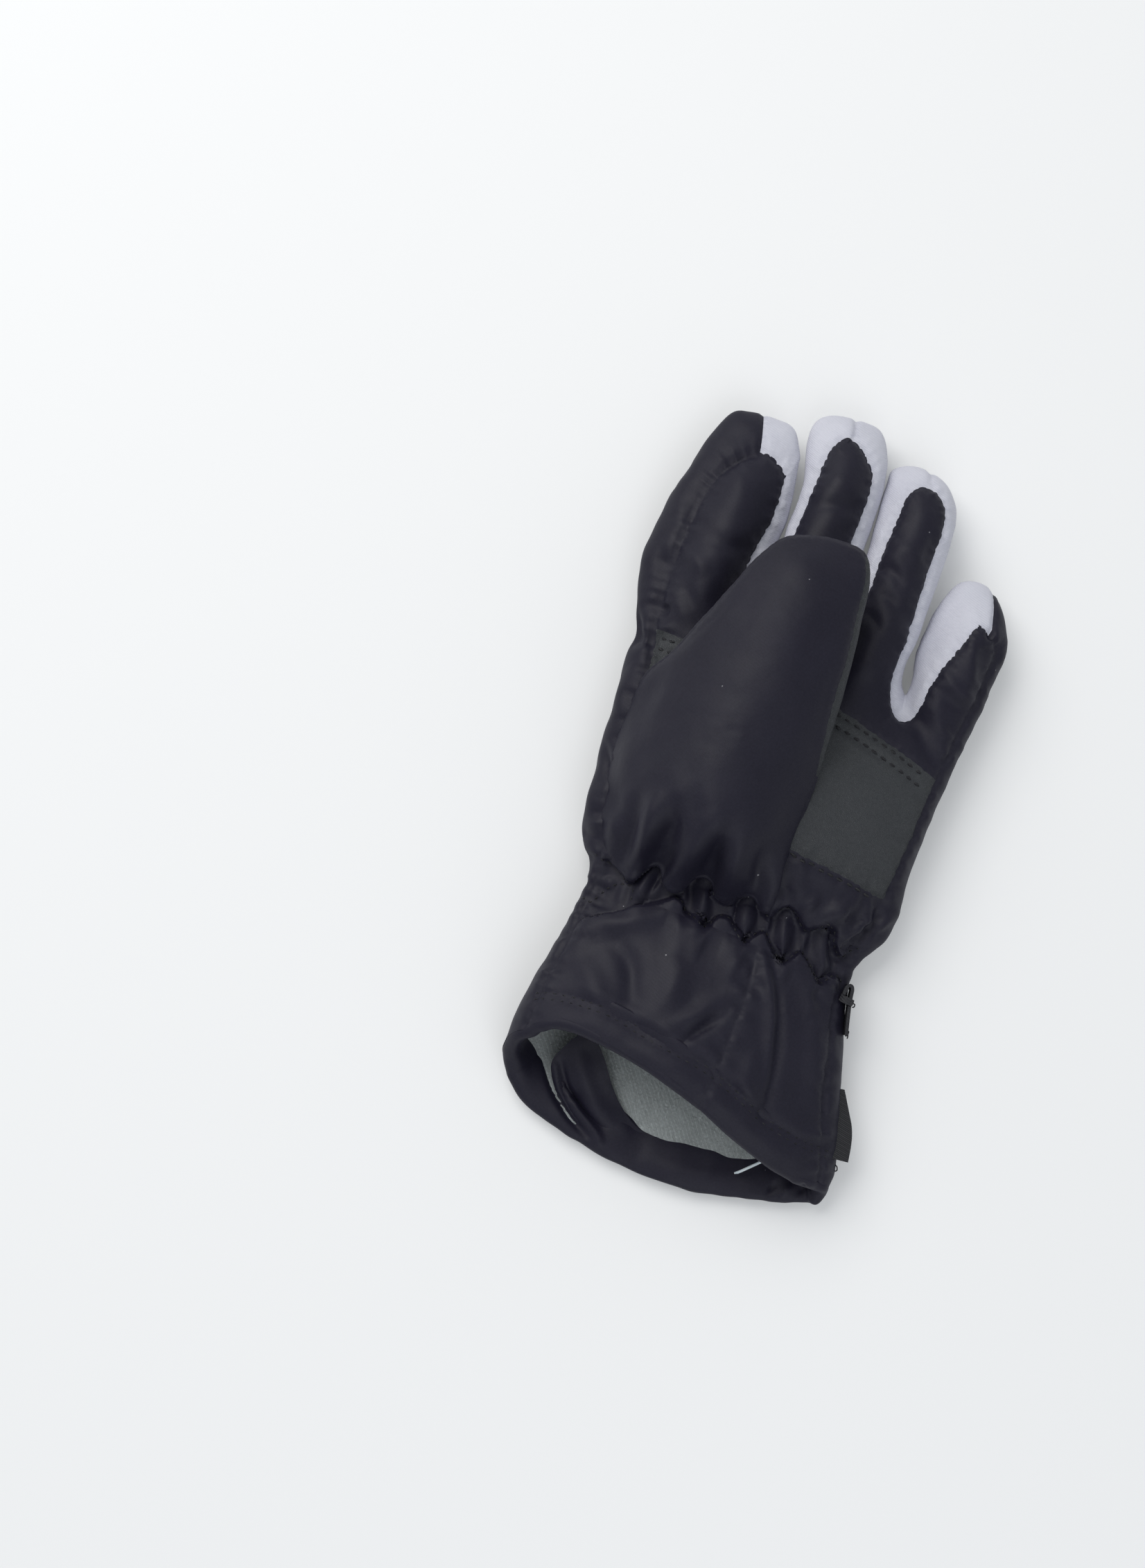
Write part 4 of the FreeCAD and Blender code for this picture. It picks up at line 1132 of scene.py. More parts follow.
def wobbled(tree, amount, size):
    """The object's own coordinates, shifted a little by a noise."""
    place = new_node(tree, "ShaderNodeTexCoord").outputs["Object"]
    shift = new_node(tree, "ShaderNodeTexNoise", {"Vector": place, "Scale": size, "Detail": 2})
    scaled = new_node(
        tree, "ShaderNodeVectorMath", {0: shift.outputs["Color"], "Scale": amount}, operation="SCALE"
    )
    return new_node(
        tree, "ShaderNodeVectorMath", {0: place, 1: scaled.outputs[0]}, operation="ADD"
    ).outputs[0]


# Threads of a woven cloth: how high the surface is, from twill lines and the threads across them.
weave, given, feeds = new_group("weave", {"Threads": 9000, "Twill": 0.5}, ("Height",))
place = wobbled(weave, 0.0003, 220)
warp = slanted(weave, (0.83, 0.5, 0.25), given["Threads"], place)
weft = slanted(weave, (-0.5, 0.83, 0.3), given["Threads"], place)
twill = slanted(weave, (0.25, 0.97, 0.4), given["Threads"], place)
crossed = math_node(weave, "MULTIPLY", warp, weft)
mixed = new_node(weave, "ShaderNodeMix", {0: given["Twill"], 2: crossed, 3: twill}).outputs[0]
weave.links.new(mixed, feeds["Height"])

# Uneven tone: broad soft patches and fine grain, both from 0 to 1.
tone, given, feeds = new_group("tone", {"Patch Scale": 40, "Grain Scale": 900}, ("Patches", "Grain"))
place = new_node(tone, "ShaderNodeTexCoord").outputs["Object"]
for label, detail in (("Patch", 3), ("Grain", 4)):
    spots = new_node(
        tone, "ShaderNodeTexNoise",
        {"Vector": place, "Scale": given[f"{label} Scale"], "Detail": detail, "Roughness": 0.6},
    )
    spread = new_node(tone, "ShaderNodeMapRange", {0: spots.outputs["Fac"], 1: 0.3, 2: 0.7})
    tone.links.new(spread.outputs[0], feeds["Patches" if label == "Patch" else "Grain"])

# Lint: a few tiny pale specks, each in its own cell of a fine net.
lint, given, feeds = new_group("lint", {"Cells": 260, "Share": 0.05, "Size": 0.12}, ("Specks",))
place = wobbled(lint, 0.0005, 1500)
cells = new_node(lint, "ShaderNodeTexVoronoi", {"Vector": place, "Scale": given["Cells"]})
picked = new_node(lint, "ShaderNodeSeparateColor", {0: cells.outputs["Color"]}).outputs[0]
few = math_node(lint, "LESS_THAN", picked, given["Share"])
small = math_node(lint, "LESS_THAN", cells.outputs["Distance"], given["Size"])
lint.links.new(math_node(lint, "MULTIPLY", few, small), feeds["Specks"])

# Crumples: the smallest creases of a soft coated cloth, too fine for the mesh.
creases, given, feeds = new_group("creases", {"Scale": 180, "Sharpness": 0.5}, ("Height",))
place = wobbled(creases, 0.004, 60)
ridges = new_node(
    creases, "ShaderNodeTexNoise",
    {"Vector": place, "Scale": given["Scale"], "Detail": 3, "Roughness": given["Sharpness"]},
)
creases.links.new(ridges.outputs["Fac"], feeds["Height"])

# Wear where the cloth is bent over a seam: 1 at the seam and 0 a few millimetres from it.
rubbed, given, feeds = new_group("rubbed", {"Break Up": 500}, ("Wear",))
seam = new_node(rubbed, "ShaderNodeAttribute", attribute_name="seam").outputs["Fac"]
place = new_node(rubbed, "ShaderNodeTexCoord").outputs["Object"]
speckle = new_node(
    rubbed, "ShaderNodeTexNoise", {"Vector": place, "Scale": given["Break Up"], "Detail": 4}
)
broken = new_node(rubbed, "ShaderNodeMapRange", {0: speckle.outputs["Fac"], 1: 0.35, 2: 0.65})
rubbed.links.new(math_node(rubbed, "MULTIPLY", seam, broken.outputs[0]), feeds["Wear"])


def ramp(tree, share, dark, light):
    """A colour between two others."""
    return new_node(
        tree, "ShaderNodeMix", {0: share, 6: (*dark, 1), 7: (*light, 1)}, data_type="RGBA"
    ).outputs[2]


def over(tree, share, below, top, strength):
    """A colour laid over another where a mask says so."""
    scaled = math_node(tree, "MULTIPLY", share, strength)
    return new_node(
        tree, "ShaderNodeMix", {0: scaled, 6: below, 7: (*top, 1)}, data_type="RGBA"
    ).outputs[2]


def between_values(tree, share, low, high):
    """A value between two others."""
    return new_node(tree, "ShaderNodeMapRange", {0: share, 3: low, 4: high}).outputs[0]


def bumped(tree, shader, *heights):
    """Feeds the shader's normal from heights, each with its own size in metres."""
    below = None
    for height, size in heights:
        values = {"Height": height, "Distance": size, "Strength": 1.0}
        if below:
            values["Normal"] = below
        below = new_node(tree, "ShaderNodeBump", values).outputs["Normal"]
    tree.links.new(below, shader.inputs["Normal"])


def dressed(name, material, color, roughness, *heights):
    """Feeds a material's shader with its colour, its roughness and its bumps, and keeps it."""
    tree = material.node_tree
    shader = tree.nodes["Principled BSDF"]
    tree.links.new(color, shader.inputs["Base Color"])
    if roughness:
        tree.links.new(roughness, shader.inputs["Roughness"])
    bumped(tree, shader, *heights)
    finishes[name] = material


nylon, tree, _ = new_material(
    "shell_nylon", Specular_IOR_Level=0.28,
    Sheen_Weight=0.045, Sheen_Roughness=0.35, Sheen_Tint=(0.75, 0.75, 1.0, 1),
)
tones = placed(tree, tone, Patch_Scale=45, Grain_Scale=1500)
threads = placed(tree, weave, Threads=21000, Twill=0.35)
specks = placed(tree, lint, Cells=260, Share=0.05, Size=0.055)
wear = placed(tree, rubbed, Break_Up=700)
small_creases = placed(tree, creases, Scale=110, Sharpness=0.4)
color = ramp(tree, tones["Patches"], (0.0072, 0.0064, 0.0152), (0.0092, 0.0082, 0.0187))
color = over(tree, tones["Grain"], color, (0.018, 0.0168, 0.031), 0.4)
color = over(tree, wear["Wear"], color, (0.032, 0.031, 0.042), 0.35)
color = over(tree, specks["Specks"], color, (0.3, 0.3, 0.32), 0.8)
roughness = between_values(tree, tones["Patches"], 0.46, 0.58)
heights = (threads["Height"], 0.000012), (small_creases["Height"], 0.0004)
dressed("shell_nylon", nylon, color, roughness, *heights)

grey_cloth, tree, _ = new_material(
    "fourchette_grey", Specular_IOR_Level=0.3, Sheen_Weight=0.12, Sheen_Roughness=0.5
)
tones = placed(tree, tone, Patch_Scale=60, Grain_Scale=1300)
threads = placed(tree, weave, Threads=11500, Twill=0.85)
wear = placed(tree, rubbed, Break_Up=600)
small_creases = placed(tree, creases, Scale=120, Sharpness=0.5)
color = ramp(tree, tones["Patches"], (0.56, 0.565, 0.645), (0.62, 0.625, 0.7))
color = over(tree, tones["Grain"], color, (0.7, 0.7, 0.77), 0.3)
color = over(tree, wear["Wear"], color, (0.37, 0.38, 0.47), 0.5)
roughness = between_values(tree, tones["Grain"], 0.52, 0.66)
heights = (threads["Height"], 0.00003), (small_creases["Height"], 0.0004)
dressed("fourchette_grey", grey_cloth, color, roughness, *heights)

# Pebbles of a synthetic leather: rounded grains of mixed sizes with fine creases between them.
pebbles, given, feeds = new_group("pebbles", {"Grains": 1100}, ("Height", "Creases"))
place = wobbled(pebbles, 0.0006, 500)
grains = new_node(
    pebbles, "ShaderNodeTexVoronoi", {"Vector": place, "Scale": given["Grains"]}, feature="DISTANCE_TO_EDGE"
)
rounded = new_node(pebbles, "ShaderNodeMapRange", {0: grains.outputs["Distance"], 1: 0.0, 2: 0.32})
rounded.interpolation_type = "SMOOTHSTEP"
pebbles.links.new(rounded.outputs[0], feeds["Height"])
pebbles.links.new(math_node(pebbles, "SUBTRACT", 1.0, rounded.outputs[0]), feeds["Creases"])

leather, tree, _ = new_material("grip_patch", Specular_IOR_Level=0.42)
tones = placed(tree, tone, Patch_Scale=35, Grain_Scale=1200)
grain = placed(tree, pebbles, Grains=2300)
wear = placed(tree, rubbed, Break_Up=650)
color = ramp(tree, tones["Patches"], (0.029, 0.032, 0.036), (0.038, 0.0415, 0.047))
color = over(tree, grain["Creases"], color, (0.015, 0.0165, 0.02), 0.45)
color = over(tree, tones["Grain"], color, (0.06, 0.065, 0.07), 0.3)
color = over(tree, wear["Wear"], color, (0.012, 0.014, 0.016), 0.5)
roughness = between_values(tree, grain["Creases"], 0.44, 0.62)
dressed("grip_patch", leather, color, roughness, (grain["Height"], 0.00007))

def new_piece(name, places, faces, slot, rim=0):
    """A piece with its finish; its places are in millimetres, and its last faces are its rim's."""
    mesh = bpy.data.meshes.new(name)
    mesh.from_pydata((places * MM).tolist(), [], faces)
    mesh.polygons.foreach_set("use_smooth", [True] * (len(faces) - rim) + [False] * rim)
    piece = bpy.data.objects.new(name, mesh)
    bpy.context.collection.objects.link(piece)
    mesh.materials.append(finishes[slot])
    return piece


def rim_of(faces):
    """The edges that only one of some faces has."""
    edges = dict.fromkeys(pair for face in faces for pair in zip(face, face[1:] + face[:1]))
    return [(a, b) for a, b in edges if (b, a) not in edges]


def thick(faces, count):
    """A sheet's outer faces, its inner ones on points numbered count later, and its rim's."""
    rim = [(b, a, a + count, b + count) for a, b in rim_of(faces)]
    return faces + [[corner + count for corner in face[::-1]] for face in faces] + rim


def cloth_piece(name, points, normals, faces, slot, nearness, outer=0.0, inner=SKIN, room=None):
    """A closed sheet between two depths under a surface, made of some of its faces.

    nearness says how near each point is to a seam, from 0 to 1. room, from 0 to 1 too, says how
    much of that depth there is at each point.
    """
    used = np.unique(faces)
    number_of = np.full(len(points), -1)
    number_of[used] = np.arange(len(used))
    faces = number_of[faces]
    share = np.ones((len(used), 1)) if room is None else room[used][:, None]
    outside = points[used] - normals[used] * outer * share
    inside_places = points[used] - normals[used] * inner * share
    inside_places[:, 2] = np.maximum(inside_places[:, 2], 0.12 + 0.1 * (outer + inner))
    all_faces = thick(faces.tolist(), len(used))
    rim = len(all_faces) - 2 * len(faces)
    piece = new_piece(name, np.vstack([outside, inside_places]), all_faces, slot, rim)
    outer_normals, inner_normals = normals[used][faces.ravel()], -normals[used][faces[:, ::-1].ravel()]
    loop_normals = np.vstack([outer_normals, inner_normals, np.zeros((4 * rim, 3))])
    piece.data.normals_split_custom_set(loop_normals.tolist())
    seam = piece.data.attributes.new("seam", "FLOAT", "POINT")
    seam.data.foreach_set("value", np.tile(nearness[used], 2))
    return piece


def goes_with(piece, body):
    """Makes a piece ride with the hand; a fingertip's or the thumb's piece only has its place baked in."""
    if body == "hand":
        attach(piece, "hand")
    elif body == "thumb":
        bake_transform(piece)
    else:
        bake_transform(piece)


WEAR_REACH = 3.5
WEAR_WIDTH = 1.3


def seam_nearness(points, lines):
    """How near each point is to some seams: 1 at a seam, 0 a few millimetres from it."""
    seam_gap = np.full(len(points), 9.0)
    for line in lines:
        close, gaps, _ = near_line(points, line, WEAR_REACH)
        seam_gap[close] = np.minimum(seam_gap[close], gaps)
    return np.exp(-((seam_gap / WEAR_WIDTH) ** 2))


nearness = seam_nearness(fine, (*seam_lines.values(), *tip_seam_lines.values()))
grey = set(panel_of[is_grey])
for panel in sorted(set(shell.panels)):
    slot = "fourchette_grey" if panel in grey else "shell_nylon"
    if panel == "palm_patch":
        slot = "grip_patch"
    piece = cloth_piece(f"{panel}_cloth", fine, normals, quads[owners == panel], slot, nearness)
    body = panel[: panel.index("_tip") + 4] if "_tip" in panel else "hand"
    goes_with(piece, body)
    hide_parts(panel)

# ------------------------------------------------------------------ the stitches
# Black thread, sewn through in a lockstitch: short rounded stitches that lie in the seams' dips,
# two rows along the patch's top, one along its lower edge, two round the hem, and one in each wavy
# row of the wrist.

def thread_material(name, dark, light, threads, roughness):
    """A close weave of shiny thread in two tones of one colour."""
    material, tree, _ = new_material(name, Specular_IOR_Level=0.4)
    tones = placed(tree, tone, Patch_Scale=120, Grain_Scale=2200)
    lines = placed(tree, weave, Threads=threads, Twill=0.7)
    color = ramp(tree, between_values(tree, lines["Height"], 0.25, 0.75), dark, light)
    color = over(tree, tones["Grain"], color, light, 0.3)
    rough = between_values(tree, tones["Patches"], roughness, roughness + 0.15)
    dressed(name, material, color, rough, (lines["Height"], 0.00008))


thread_material("thread", (0.006, 0.006, 0.008), (0.024, 0.024, 0.03), 16000, 0.4)
ROUND = [corner / 8 * math.tau for corner in range(8)]  # the corners round a thread
STITCH_PARTS = (0, 0.12, 0.32, 0.5, 0.68, 0.88, 1)
STITCH_SHIFT = 0.12  # how unevenly the stitches are spaced


def tube(made, rings):
    """Adds a tube with closed ends to a mesh that is being made, through rings of places."""
    rings = [[made.verts.new(Vector(place) * MM) for place in ring] for ring in rings]
    size = len(rings[0])
    for near, far in zip(rings, rings[1:]):
        for a, b in zip(range(size), [*range(1, size), 0]):
            made.faces.new((near[a], near[b], far[b], far[a]))
    made.faces.new(rings[0][::-1])
    made.faces.new(rings[-1])


def hand_piece(made, name, finish, smooth=True):
    """The piece, fixed to the hand, of a mesh that has been made."""
    bmesh.ops.recalc_face_normals(made, faces=made.faces)
    mesh = bpy.data.meshes.new(name)
    made.to_mesh(mesh)
    made.free()
    mesh.polygons.foreach_set("use_smooth", [smooth] * len(mesh.polygons))
    piece = bpy.data.objects.new(name, mesh)
    bpy.context.collection.objects.link(piece)
    mesh.materials.append(finishes[finish])
    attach(piece, "hand")
    return piece


skin_tree = BVHTree.FromPolygons(fine.tolist(), quads.tolist())


def stitched(name, rows, length, pitch, width):
    """One piece with a stitch every pitch along some lines, laid on the shell."""
    made = bmesh.new()
    for row in rows:
        line = smooth_line(row, max(int(line_length(row) / 0.3), 8))
        run = np.concatenate([[0], np.cumsum(np.linalg.norm(np.diff(line, axis=0), axis=1))])
        for start in np.arange(pitch * 0.2, run[-1] - length, pitch):
            start += stitch_pull.uniform(-STITCH_SHIFT, STITCH_SHIFT)
            rings = []
            for t in STITCH_PARTS:
                at = start + length * t
                place = Vector([float(np.interp(at, run, line[:, axis])) for axis in range(3)])
                ahead = Vector([float(np.interp(at + 0.2, run, line[:, axis])) for axis in range(3)])
                foot, up, _, _ = skin_tree.find_nearest(place)
                way = (ahead - place).normalized()
                side = way.cross(up).normalized()
                swell = math.sin(math.pi * (0.08 + 0.84 * t))
                middle = foot + up * (0.34 * swell - 0.3)
                wide = side * (width / 2 * (0.45 + 0.55 * swell))
                high = up * (0.75 * width / 2 * (0.45 + 0.55 * swell))
                rings.append([middle + wide * math.cos(a) + high * math.sin(a) for a in ROUND])
            tube(made, rings)
    hand_piece(made, name, "thread")


def moved_in_plane(line, down):
    """A seam line moved down the hand along the surface, as seen."""
    flat = plane_of(line)
    flat[:, 1] -= down
    rows = seen(np.column_stack([flat, line[:, 2]]))
    return np.array([skin_tree.find_nearest(Vector(row))[0] for row in rows])


def on_skin(places):
    """Places on the shell under places that are given as they are seen."""
    found = []
    for x, y in np.asarray(places, float):
        above, below = seen([(x, y, 80), (x, y, 0)])
        way = Vector(below - above)
        found.append(skin_tree.ray_cast(Vector(above), way.normalized())[0])
    return np.array([place for place in found if place is not None])


patch_rows = [moved_in_plane(line, down)[2:-2] for line, down in PATCH_ROWS]
stitched("patch_stitches", patch_rows, length=2.0, pitch=3.0, width=0.85)
wrist_rows = []
for row in (UPPER_ROW[1:-1], LOWER_ROW[1:9], LOWER_ROW[10:-1]):
    flat = smooth_line([(*place, 0) for place in row], int(4 * len(row)))[:, :2]
    wrist_rows.append(on_skin(flat))
stitched("wrist_stitches", wrist_rows, length=1.5, pitch=2.2, width=0.5)
hem_rows = []
for shift in ([0, 0], [0.2, -1.7]):
    flat = smooth_line([(*place, 0) for place in hem_flat + shift], 90)[:, :2]
    hem_rows.append(on_skin(flat))
stitched("hem_stitches", hem_rows, length=1.7, pitch=STITCH_PITCH, width=0.3)

# ------------------------------------------------------------------ wadding, elastic and lining
# Under the nylon lie a polyester wadding and a brushed knit lining, cut to the same pattern and sewn
# in along the same seams. A flat elastic is stitched to the wrist's inside, and the cuff is lined
# with a paler knit that has finer ribs.

# Brushed knit: ribs of loops along the hand, under a fuzz of pulled-out fibres.
brushed, given, feeds = new_group("brushed", {"Ribs": 3600, "Fibres": 900}, ("Ribs", "Fuzz"))
place = wobbled(brushed, 0.0009, 260)
ribs = slanted(brushed, (0.78, 0.62, 0.1), given["Ribs"], place)
loops = slanted(brushed, (-0.62, 0.78, 0.4), given["Ribs"], place)
summed = math_node(brushed, "ADD", ribs, math_node(brushed, "MULTIPLY", loops, 0.4))
brushed.links.new(between_values(brushed, summed, 0.3, 0.9), feeds["Ribs"])
fibres = new_node(
    brushed, "ShaderNodeTexNoise",
    {"Vector": place, "Scale": given["Fibres"], "Detail": 6, "Roughness": 0.75, "Distortion": 0.6},
)
fuzz = new_node(brushed, "ShaderNodeMapRange", {0: fibres.outputs["Fac"], 1: 0.35, 2: 0.68})
brushed.links.new(fuzz.outputs[0], feeds["Fuzz"])


def brushed_material(name, dark, light, ribs, fibres):
    """A brushed knit in two tones of one colour."""
    material, tree, _ = new_material(
        name, Roughness=0.95, Specular_IOR_Level=0.15, Sheen_Weight=0.35, Sheen_Roughness=0.6
    )
    tones = placed(tree, tone, Patch_Scale=55, Grain_Scale=1400)
    knit = placed(tree, brushed, Ribs=ribs, Fibres=fibres)
    specks = placed(tree, lint, Cells=420, Share=0.12, Size=0.16)
    color = ramp(tree, knit["Ribs"], dark, light)
    color = over(tree, knit["Fuzz"], color, light, 0.6)
    color = over(tree, tones["Patches"], color, [min(1, part * 1.35) for part in light], 0.4)
    color = over(tree, specks["Specks"], color, (0.55, 0.62, 0.6), 0.6)
    dressed(name, material, color, None, (knit["Ribs"], 0.0003), (knit["Fuzz"], 0.0006))


brushed_material("cuff_knit", (0.2, 0.23, 0.235), (0.56, 0.61, 0.61), 6000, 1100)
brushed_material("hand_fleece", (0.14, 0.165, 0.17), (0.36, 0.41, 0.41), 2800, 800)
brushed_material("wadding", (0.62, 0.63, 0.6), (0.82, 0.82, 0.8), 900, 500)
brushed_material("elastic", (0.3, 0.31, 0.31), (0.62, 0.63, 0.62), 4800, 1800)


def settled(points, faces, rounds):
    """The points of a surface after its small wrinkles are smoothed away."""
    first, second = neighbour_pairs([tuple(face) for face in faces])
    counts = np.maximum(np.bincount(np.concatenate([first, second]), minlength=len(points)), 1)
    result = points.copy()
    for _ in range(rounds):
        result = (result + neighbour_mean(result, first, second, counts[:, None])) / 2
    return result


triangles = np.array([face if len(face) == 4 else (*face, face[2]) for face in shell.faces])
smooth_points = settled(fine[: len(points)], shell.faces, 5)
smooth_normals = point_normals(smooth_points, triangles)
for _ in range(4):
    smooth_normals = settled(smooth_normals, shell.faces, 1)
    smooth_normals /= np.linalg.norm(smooth_normals, axis=1)[:, None]
coarse_owner = np.array(shell.panels)
ZONES = {"hand": ["palm_upper_panel", "palm_patch", "palm_lower_panel", "back_panel",
                  "index_side_strip", "little_side_strip", *FOURCHETTES]}
PARTS = ("front", "back", "left_side", "right_side")
for finger in FINGERS:
    ZONES[f"{finger}_tip"] = [f"{finger}_tip_{part}" for part in PARTS]
CUFF = ["cuff_front_left_panel", "cuff_front_right_panel", "cuff_back_panel"]
PUSHES = 7
INNER_GAP = 0.5  # how far the layers stay above the table, besides their own depth
WADDING_DEPTHS = (2.0, 4.4)
LINING_DEPTHS = (4.6, 5.4)
ELASTIC_DEPTHS = (1.6, 2.3)
ELASTIC_ROWS = (-0.5, 9)
CUFF_LINING_DEPTHS = (1.3, 2.8)


def pushed_in(places, least):
    """Places moved inwards where they are less than a given depth under the shell."""
    result = places.copy()
    for number, place in enumerate(places):
        nearest_place, way, _, _ = skin_tree.find_nearest(Vector(place))
        depth = (nearest_place - Vector(place)).dot(way)
        if depth < least:
            result[number] += np.array(way) * (depth - least)
    return result


def inner_piece(name, panels, slot, outer, inner, low=-FAR, high=FAR):
    """A layer of the glove's inside, between two depths under the named panels."""
    middle_y = smooth_points[triangles].mean(axis=1)[:, 1]
    chosen = np.isin(coarse_owner, panels) & (middle_y > low) & (middle_y < high)
    faces = [list(dict.fromkeys(face)) for face in triangles[chosen].tolist()]
    used = sorted({corner for face in faces for corner in face})
    number_of = {corner: number for number, corner in enumerate(used)}
    faces = [[number_of[corner] for corner in face] for face in faces]
    outside = smooth_points[used] - smooth_normals[used] * outer
    inside_places = smooth_points[used] - smooth_normals[used] * inner
    for _ in range(PUSHES):
        outside = pushed_in(outside, outer)
        inside_places = pushed_in(inside_places, inner)
    outside[:, 2] = np.maximum(outside[:, 2], INNER_GAP + outer)
    inside_places[:, 2] = np.maximum(inside_places[:, 2], INNER_GAP + inner)
    all_faces = thick(faces, len(used))
    rim = len(all_faces) - 2 * len(faces)
    return new_piece(name, np.vstack([outside, inside_places]), all_faces, slot, rim)


for body, panels in ZONES.items():
    for layer, slot, depths in (
        ("insulation", "wadding", WADDING_DEPTHS), ("lining", "hand_fleece", LINING_DEPTHS),
    ):
        piece = inner_piece(f"{body}_{layer}_layer", panels, slot, *depths)
        goes_with(piece, body)
        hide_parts(f"{body}_{layer}")
piece = inner_piece(
    "wrist_elastic_band", ZONES["hand"], "elastic", *ELASTIC_DEPTHS, *ELASTIC_ROWS
)
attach(piece, "hand")
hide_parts("wrist_elastic")
piece = inner_piece("cuff_lining_layer", CUFF, "cuff_knit", *CUFF_LINING_DEPTHS)
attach(piece, "hand")
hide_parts("cuff_lining")

# ------------------------------------------------------------------ the cuff's hem
# The nylon turns in over the edge of the lining and is stitched down all round as a facing, which
# makes a thick soft roll at the mouth of the cuff.

HEM_RINGS = 30
HEM_PROFILE = [
    (1.4, 0.1), (0.4, -0.1), (-0.6, 0.1), (-1.3, 0.7), (-1.75, 1.6), (-1.65, 2.6), (-1.1, 3.5),
    (0, 4.2), (1.6, 4.7), (4, 5.0), (6.5, 4.9), (8.6, 4.5), (9.8, 3.9), (10.4, 3.3), (10.2, 2.8),
    (9, 2.6), (5, 2.8), (1, 2.6), (0.3, 1.6), (0.6, 0.9),
]
CUFF_MOUTH_Y = -36  # the shell's open edge lies below this
low_quads = quads[(fine[quads][:, :, 1] < CUFF_MOUTH_Y + 6).any(axis=1)]
following = {
    a: b for a, b in rim_of(low_quads.tolist()) if max(fine[a, 1], fine[b, 1]) < CUFF_MOUTH_Y
}
hem_start = min(following)
hem_loop = [hem_start]
while following[hem_loop[-1]] != hem_start:
    hem_loop.append(following[hem_loop[-1]])


def ring_softened(rows, times):
    """Rows of a closed loop averaged with their neighbours."""
    for _ in range(times):
        rows = (np.roll(rows, 1, axis=0) + 2 * rows + np.roll(rows, -1, axis=0)) / 4
    return rows


hem_places = ring_softened(fine[hem_loop], 2)
hem_out = ring_softened(normals[hem_loop], 8)
hem_out /= np.linalg.norm(hem_out, axis=1)[:, None]
hem_tangent = np.roll(hem_places, -1, axis=0) - np.roll(hem_places, 1, axis=0)
hem_into = np.cross(hem_tangent, hem_out)
hem_into *= np.sign(hem_into[:, 1]).mean()
hem_into = ring_softened(hem_into / np.linalg.norm(hem_into, axis=1)[:, None], 60)
turned_up = smooth_step((8 - hem_places[:, 2]) / 5)
hem_length = np.concatenate([[0], np.cumsum(np.linalg.norm(np.diff(hem_places, axis=0), axis=1))])
HEM_MARKS = 9  # millimetres between places where the roll's width changes
hem_marks = np.arange(0, hem_length[-1] + HEM_MARKS, HEM_MARKS)
unevenness = [stitch_pull.uniform(-1, 1) for _ in hem_marks]
unevenness[-1] = unevenness[0]
hem_wave = np.interp(hem_length, hem_marks, unevenness)
hem_wave = ring_softened(hem_wave[:, None], 12)[:, 0]
tongue = np.exp(-(((hem_places[:, 0] + 25) / 5.5) ** 2)) * turned_up
profile = [(*place, 0) for place in HEM_PROFILE + HEM_PROFILE[:1]]
profile = smooth_line(profile, HEM_RINGS + 1)[:-1]
rings = []
for into, depth, _ in profile:
    inner_share = smooth_step((into - 2) / 8)
    width = into * (1 + 0.5 * turned_up) + inner_share * (0.25 * hem_wave + 11 * tongue)
    height = depth * (1 + 0.12 * hem_wave * (depth > 3))
    rings.append(hem_places + hem_into * width[:, None] - hem_out * height[:, None])
hem_points = np.vstack(rings)
around = len(hem_loop)
hem_faces = []
for ring in range(HEM_RINGS):
    next_ring = (ring + 1) % HEM_RINGS
    for place in range(around):
        after = (place + 1) % around
        hem_faces.append((ring * around + place, next_ring * around + place,
                          next_ring * around + after, ring * around + after))
middle_ring = hem_points.reshape(HEM_RINGS, around, 3).mean(axis=0)
out_of_ring = (hem_points.reshape(HEM_RINGS, around, 3) - middle_ring).reshape(-1, 3)
hem_fine, hem_quads, _ = subdivided(hem_points, hem_faces, ["hem"] * len(hem_faces))
hem_normals = point_normals(hem_fine, hem_quads)
if (hem_normals[: len(hem_points)] * out_of_ring).sum() < 0:
    hem_quads, hem_normals = hem_quads[:, ::-1], -hem_normals
HEM_FOLDS = [
    ([(-28.5, -51), (-25.5, -56), (-19, -61.5), (-12, -65.5), (-10, -67.5)], 1.3, 2.6),
    ([(-30.5, -53), (-27, -58), (-20.5, -63.5), (-14, -67)], 1.2, -2.0),
    ([(-25.5, -52), (-22, -57), (-16, -61)], 1.3, -1.8),
    ([(-20, -48), (-15, -54), (-10, -58.5), (-5, -61.5)], 2.0, 0.9),
    ([(5, -67.5), (18, -66.5), (30, -63)], 2.6, 0.7), ([(38, -64), (39.5, -60.5)], 0.9, -1.1),
    ([(42, -63.5), (43.5, -59.5)], 1.0, 0.9), ([(46, -61.5), (47, -58)], 0.9, -0.9),
    ([(-41, -50), (-39.5, -54), (-36, -58)], 2.0, 0.9),
]
folded(hem_fine, hem_normals, HEM_FOLDS)
hem_normals = point_normals(hem_fine, hem_quads)
crumpled(hem_fine, hem_normals, 12.0, 0.35, 5)
hem_fine[:, 2] = np.maximum(hem_fine[:, 2], 0.15)
piece = new_piece("hem_facing_roll", hem_fine, hem_quads.tolist(), "shell_nylon")
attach(piece, "hand")
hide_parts("hem_facing")
